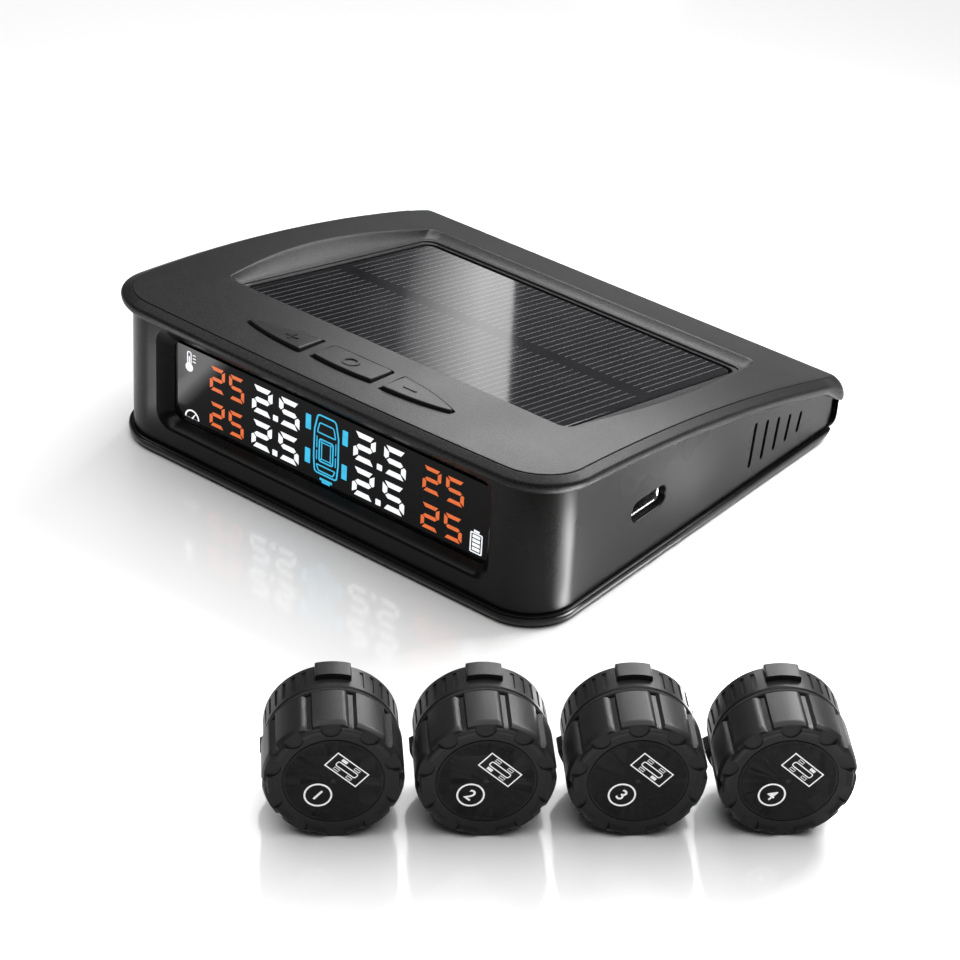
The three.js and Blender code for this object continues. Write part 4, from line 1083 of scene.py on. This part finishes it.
def grip_ring(radius, z, notch):
    """A circle with ten shallow notches between its grips."""
    points = []
    steps = 180
    for i in range(steps):
        angle = 2 * math.pi * i / steps
        share = (angle * GRIPS / (2 * math.pi)) % 1.0
        depth = notch * (smoothstep(share, 0.0, 0.035) - smoothstep(share, 0.2, 0.235))
        points.append(((radius - depth) * math.cos(angle), (radius - depth) * math.sin(angle), z))
    return points


def make_cap(index):
    """The cap as it is moulded; each profile row is a radius, a height and the notches' depth."""
    crown = CAP_TOP - 13.42
    skirt = [
        (8.15, 6.3, 0.0), (8.25, 6.2, 0.0), (8.8, 6.2, 0.45), (9.0, 6.4, 0.5), (9.0, 12.35, 0.5),
        (8.97, 12.6, 0.5), (8.88, 12.85, 0.42),
    ]
    face = [
        (8.72, 13.02, 0.3), (8.5, 13.12, 0.12), (8.36, 13.14, 0.0), (8.3, 13.3, 0.0), (8.2, 13.4, 0.0),
        (8.0, 13.42, 0.0), (7.75, 13.3, 0.0), (7.5, 13.18, 0.0), (7.3, 13.15, 0.0), (6.46, 13.15, 0.0),
        (6.4, 13.02, 0.0), (6.32, 13.02, 0.0), (6.26, 13.17, 0.0), (6.2, 13.2, 0.0), (0.3, 13.2, 0.0),
    ]
    inside = [(0.3, 12.5, 0.0), (8.15, 12.5, 0.0)]
    profile = skirt + [(r, z + crown, notch) for r, z, notch in face] + inside
    rings = [grip_ring(r, z, notch) for r, z, notch in profile]
    return new_object(f"sensor_{index}_cap_shell", Solid().loft(rings, closed=True))


def scallop_cutters(z0, z1):
    """Half-round recesses in the cap's shoulder, one behind each grip."""
    steps = []
    for i in range(GRIPS):
        angle = 2 * math.pi * (i + 0.6) / GRIPS
        centre = 0.905 * CAP_RADIUS
        place = shift(centre * math.cos(angle), centre * math.sin(angle), 0)
        profile = [(0.05, z0), (1.3, z0), (1.38, z1), (0.05, z1)]
        steps.append(Solid().lathe(profile, 40, False, place))
    return steps


def printed_digit(text, size, place):
    """A plain printed number as a thin plate."""
    curve = bpy.data.curves.new("digit", "FONT")
    curve.body = text
    curve.size = size
    curve.align_x = "CENTER"
    curve.align_y = "CENTER"
    curve.extrude = 0.02
    curve.offset = 0.02
    holder = bpy.data.objects.new("digit", curve)
    bpy.context.scene.collection.objects.link(holder)
    graph = bpy.context.evaluated_depsgraph_get()
    mesh = bpy.data.meshes.new_from_object(holder.evaluated_get(graph))
    points = np.array([v.co for v in mesh.vertices])
    middle = (points.max(0) + points.min(0)) / 2
    points -= (middle[0], middle[1], points[:, 2].min())
    faces = [list(p.vertices) for p in mesh.polygons]
    bpy.data.objects.remove(holder)
    bpy.data.curves.remove(curve)
    bpy.data.meshes.remove(mesh)
    return Solid().add(points, faces, place)


def turned(angle, x=0.0, y=0.0, z=0.0):
    place = shift(x, y, z)
    c, s = math.cos(math.radians(angle)), math.sin(math.radians(angle))
    place[:2, :2] = [[c, -s], [s, c]]
    return place


def make_label(index, place, height):
    """The printed centre of a cap: a wheel diagram in a box and a numbered circle."""
    radius = CAP_RADIUS
    print_solid = Solid()
    lift = (0.0, 0.035)
    tilt = -41.0
    box_place = place @ turned(tilt, 0.18 * radius, 0.2 * radius, height)
    half_w, half_h = 0.295 * radius, 0.145 * radius
    outline = rect(-half_w, half_w, -half_h, half_h)
    print_solid.band(outline, [(x * 0.94, y * 0.88) for x, y in outline], *lift, box_place)
    body = soften(rect(-1.7, 1.7, -0.42, 0.42), 0.36, 5)
    print_solid.band(body, inward(body, 0.14), *lift, box_place)
    wheels = [(-1.05, 0.78), (-1.05, -0.78), (1.05, -0.78), (1.05, 0.78)]
    for number, (x, y) in enumerate(wheels):
        wheel = rect(x - 0.42, x + 0.42, y - 0.2, y + 0.2)
        if number == index - 1:
            print_solid.prism(wheel, *lift, box_place)
        else:
            print_solid.band(wheel, inward(wheel, 0.09), *lift, box_place)
    ring_place = place @ turned(tilt, -0.21 * radius, -0.24 * radius, height)
    print_solid.band(circle(0.2 * radius), circle(0.175 * radius), *lift, ring_place)
    digit = printed_digit(str(index), 2.3, ring_place)
    print_solid.add(digit.points, digit.faces)
    marks = new_object(f"sensor_{index}_print", print_solid)
    # The cap's print glows: painted light from its material.
    finish_piece(marks, GLOWING_PRINT, f"sensor_{index}_lid", "sensor_plastic")
    disc = [(6.2, height - 0.3), (6.2, height - 0.06), (6.15, height)]
    label = new_object(f"sensor_{index}_label", Solid().lathe(disc, 120, False, place))
    finish_piece(label, LABEL, f"sensor_{index}_lid", "sensor_plastic")


def make_sensor(index, place):
    face = CAP_TOP - 0.22
    cap = make_cap(index)
    cut(cap, [("DIFFERENCE", scallop) for scallop in scallop_cutters(face - 0.2, CAP_TOP + 1)])
    seat_mesh(cap, place)
    finish_piece(cap, CAP, f"sensor_{index}_lid", "sensor_plastic", f"sensor_{index}_cap")
    make_label(index, place, face)

    angles = np.linspace(0, 2 * math.pi, 20, False)
    seal_profile = [(8.42 + 0.36 * math.cos(a), 5.7 + 0.34 * math.sin(a)) for a in angles]
    seal = new_object(f"sensor_{index}_oring", Solid().lathe(seal_profile, 96, place=place))
    finish_piece(seal, RUBBER, f"sensor_{index}_seal", "seal_rubber", f"sensor_{index}_seal_ring")

    outer = [(4.68, 0.25), (4.9, 0.0), (7.9, 0.0), (8.4, 0.12), (8.7, 0.6), (8.7, 4.9)]
    outer += [(8.5, 5.15), (7.9, 5.2)]
    z = 5.5
    while z < 8.9:
        outer += [(7.62, z), (7.62, z + 0.12), (7.9, z + 0.3), (7.9, z + 0.38)]
        z += 0.62
    outer += [(7.8, 9.3), (7.1, 9.3), (7.1, 8.0), (4.68, 8.0)]
    base = new_object(f"sensor_{index}_cup", Solid().lathe(outer, 108))
    tabs = []
    for i in range(3):
        middle = 90 + 120 * i
        tab = arc(0, 0, 9.5, middle - 14, middle + 14, 10) + arc(0, 0, 8.0, middle + 17, middle - 17, 10)
        tabs.append(("UNION", Solid().prism(soften(tab, 0.3), 0.9, 3.6)))
    for i in range(36):
        rib = turned(i * 10 + 5)
        if min(abs((i * 10 + 5 - m + 180) % 360 - 180) for m in (90, 210, 330)) < 22:
            continue
        tabs.append(("DIFFERENCE", Solid().prism(rect(8.5, 9.0, -0.28, 0.28), 1.2, 4.3, rib)))
    cut(base, tabs)
    seat_mesh(base, place)
    finish_piece(base, CAP, f"sensor_{index}_body", "sensor_plastic", f"sensor_{index}_base")

    thread = [(3.95, 0.1), (4.45, 0.1), (4.6, 0.25), (4.6, 7.8), (1.0, 7.8), (1.0, 7.2), (3.7, 7.2)]
    z = 6.6
    while z > 0.6:
        thread += [(4.0, z), (3.7, z - 0.22)]
        z -= 0.44
    insert = new_object(f"sensor_{index}_insert", Solid().lathe(thread, 72, place=place))
    finish_piece(insert, BRASS, f"sensor_{index}_body", "insert_brass", f"sensor_{index}_valve_insert")


# ---- make everything ----

make_cover()
for key in ("plus", "set", "minus"):
    make_key(key)
make_housing()
make_plate()
make_pad()
make_screws()
make_panel()
make_screen()
make_socket()
for number, sensor_place in enumerate(sensor_places(), 1):
    make_sensor(number, sensor_place)

NODE_MATERIALS = {
    "solar_cells": SILICON, "key_board": BOARD, "main_board": BOARD, "processor_chip": CHIP, "buzzer": CHIP,
    "motion_switch": STEEL, "antenna_coil": COPPER, "usb_tongue": SOCKET_PLASTIC, "battery_pack": FOIL,
    "solar_lead": COPPER, "lcd_panel": WINDOW, "backlight": DIFFUSER,
}
NODE_ENDINGS = {
    "_stem": CHIP, "_switch": STEEL, "_gasket": RUBBER, "_board": BOARD, "_coin_cell": STEEL,
}
for name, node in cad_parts.items():
    ending = next((m for end, m in NODE_ENDINGS.items() if name.endswith(end)), CHIP)
    node.data.materials.clear()
    node.data.materials.append(NODE_MATERIALS.get(name, ending))

# ---- camera ----
CAMERA_AZIMUTH, CAMERA_ELEVATION, CAMERA_ROLL = (math.radians(a) for a in (36.344, 31.811, 3.675))
CAMERA_PLACE = np.array((230.83, -310.44, 232.09))
CAMERA_LENS = 108.31

scene = bpy.context.scene
back = np.array((
    math.sin(CAMERA_AZIMUTH) * math.cos(CAMERA_ELEVATION),
    -math.cos(CAMERA_AZIMUTH) * math.cos(CAMERA_ELEVATION),
    math.sin(CAMERA_ELEVATION),
))
level = np.array((math.cos(CAMERA_AZIMUTH), math.sin(CAMERA_AZIMUTH), 0.0))
rise = np.cross(back, level)
camera_x = math.cos(CAMERA_ROLL) * level + math.sin(CAMERA_ROLL) * rise
camera_y = np.cross(back, camera_x)
camera = bpy.data.objects.new("camera", bpy.data.cameras.new("camera"))
scene.collection.objects.link(camera)
matrix = np.eye(4)
matrix[:3, :3] = np.column_stack([camera_x, camera_y, back])
matrix[:3, 3] = CAMERA_PLACE * MM
camera.matrix_world = Matrix(matrix.tolist())
camera.data.sensor_width = 36
camera.data.lens = CAMERA_LENS
camera.data.clip_start = 0.01
camera.data.clip_end = 50
scene.camera = camera

# ---- floor and light ----
FLOOR_Z = -0.02
CARD_LIFT = 0.05
WORLD_STRENGTH = 0.06
# where it stands, what it points at, its width and height, its power
LIGHTS = {
    "overhead": ((-60, 260, 1400), (-60, 220, 0), (2500, 2500), 49.0),
    "glow_front_right": ((-34, 84, 85), (38, -33, 25), (75, 45), 0.15),
    "glow_right_rim": ((64, 80, 112), (43, -10, 22), (90, 50), 0.3),
}
# corners, strength, and whether the fade is round
FLOOR_CARDS = {
    "card_corner_right": (((45, -33), (74, -32), (66, -6), (43.5, -26)), 30.0),
    "card_side_right": (((44.5, -6), (58, 13), (59, 35), (45.5, 16)), 3.2, True),
    "card_corner_left": (((-46, -45), (-66, -62), (-44, -68), (-38, -46)), 8.0),
}


def make_floor():
    half = 3000
    corners = [(x, y, FLOOR_Z) for x, y in rect(-half, half, -half, half)]
    floor = new_object("floor", Solid().add(corners, [[0, 1, 2, 3]]))
    m = Nodes("floor_pale")
    m.link(m.ramp(m.noise(300.0), [(0.3, grey(0.9)), (0.7, grey(0.93))]), m.shader.inputs["Base Color"])
    m.set(Roughness=0.5, Coat_Weight=1.0, Coat_Roughness=0.1, Coat_IOR=2.0)
    floor.data.materials.append(m.material)


def area_light(name, place, aim, size, power):
    """A rectangular light, width and height in size, turned from its place towards its aim."""
    light = bpy.data.lights.new(name, "AREA")
    light.shape = "RECTANGLE"
    light.size, light.size_y = size[0] * MM, size[1] * MM
    light.energy = power
    obj = bpy.data.objects.new(name, light)
    scene.collection.objects.link(obj)
    place, aim = np.array(place, float), np.array(aim, float)
    away = (place - aim) / np.linalg.norm(place - aim)
    side = np.cross((0, 0, 1), away)
    side = side / np.linalg.norm(side)
    m = np.eye(4)
    m[:3, :3] = np.column_stack([side, np.cross(away, side), away])
    m[:3, 3] = place * MM
    obj.matrix_world = Matrix(m.tolist())
    obj.visible_camera = False


def make_card(name, corners, material):
    """A lit card that only glossy surfaces see; u runs along its first side and v along its second."""
    card = new_object(name, Solid().add(corners, [[0, 1, 2, 3]]))
    layer = card.data.uv_layers.new(name="card")
    for loop, uv in zip(layer.data, ((0, 0), (1, 0), (1, 1), (0, 1))):
        loop.uv = uv
    card.data.materials.append(material)
    card.visible_camera = False
    card.visible_diffuse = False
    card.visible_shadow = False


def camera_in_panel():
    """The camera mirrored in the solar panel's face."""
    normal = np.array((0, -math.sin(PANEL_TILT), math.cos(PANEL_TILT)))
    on_face = np.array((0, PANEL_FRONT[0], PANEL_FRONT[1]))
    return CAMERA_PLACE - 2 * ((CAMERA_PLACE - on_face) @ normal) * normal


def make_reflector():
    """A pale card behind the display that the panel mirrors: one hard edge and a fade to the left."""
    mirrored = camera_in_panel()

    def beyond(x, y, distance=620.0):
        point = np.array((x, y, panel_height(y)))
        ray = point - mirrored
        return point + ray / np.linalg.norm(ray) * distance

    edge_front, edge_rear = np.array((19.4, -17.5)), np.array((-13.0, 26.9))
    along = (edge_rear - edge_front) / np.linalg.norm(edge_rear - edge_front)
    left = 40.0 * np.array((-along[1], along[0]))
    front, rear = edge_front - 12 * along, edge_rear + 12 * along
    corners = [beyond(*(front + left)), beyond(*front), beyond(*rear), beyond(*(rear + left))]
    m = Nodes("reflector_glow")
    parts = m.add("ShaderNodeSeparateXYZ")
    m.link(m.add("ShaderNodeTexCoord").outputs["UV"], parts.inputs[0])
    fade = [(0.4, grey(0.0)), (0.58, grey(0.06)), (0.7, grey(0.4)), (0.88, grey(1.0))]
    m.link(m.ramp(parts.outputs["X"], fade), m.shader.inputs["Emission Color"])
    m.set(Emission_Strength=2.3, Base_Color=(0, 0, 0, 1), Specular_IOR_Level=0.0)
    make_card("reflector", corners, m.material)


def floor_card(name, corners, strength, round_fade=False):
    """A lit patch lying on the floor, seen only in the glossy walls beside it; its sides fade out."""
    m = Nodes(name)
    parts = m.add("ShaderNodeSeparateXYZ")
    m.link(m.add("ShaderNodeTexCoord").outputs["UV"], parts.inputs[0])
    away = m.math("ABSOLUTE", m.math("SUBTRACT", parts.outputs["Y"], 0.5))
    if round_fade:
        beside = m.math("SUBTRACT", parts.outputs["X"], 0.5)
        squares = (m.math("MULTIPLY", d, d) for d in (away, beside))
        away = m.math("SQRT", m.math("ADD", *squares))
    from_above = m.math("SUBTRACT", 1.0, m.add("ShaderNodeNewGeometry").outputs["Backfacing"])
    light = m.add("ShaderNodeEmission")
    fade = [(0.08, grey(1.0)), (0.28, grey(0.4)), (0.5, grey(0.0))]
    m.link(m.ramp(away, fade), light.inputs["Color"])
    m.link(m.math("MULTIPLY", from_above, strength), light.inputs["Strength"])
    both = m.add("ShaderNodeAddShader")
    m.link(light.outputs[0], both.inputs[0])
    m.link(m.add("ShaderNodeBsdfTransparent").outputs[0], both.inputs[1])
    m.link(both.outputs[0], m.tree.nodes["Material Output"].inputs["Surface"])
    m.tree.nodes.remove(m.shader)
    make_card(name, [(x, y, CARD_LIFT) for x, y in corners], m.material)


def make_world():
    world = bpy.data.worlds.new("studio")
    scene.world = world
    world.use_nodes = True
    background = world.node_tree.nodes["Background"]
    background.inputs["Color"].default_value = (1, 1, 1, 1)
    background.inputs["Strength"].default_value = WORLD_STRENGTH


make_floor()
make_reflector()
make_world()
for light_name, spec in LIGHTS.items():
    area_light(light_name, *spec)
for card_name, spec in FLOOR_CARDS.items():
    floor_card(card_name, *spec)

scene.view_settings.view_transform = "Standard"
scene.view_settings.look = "None"
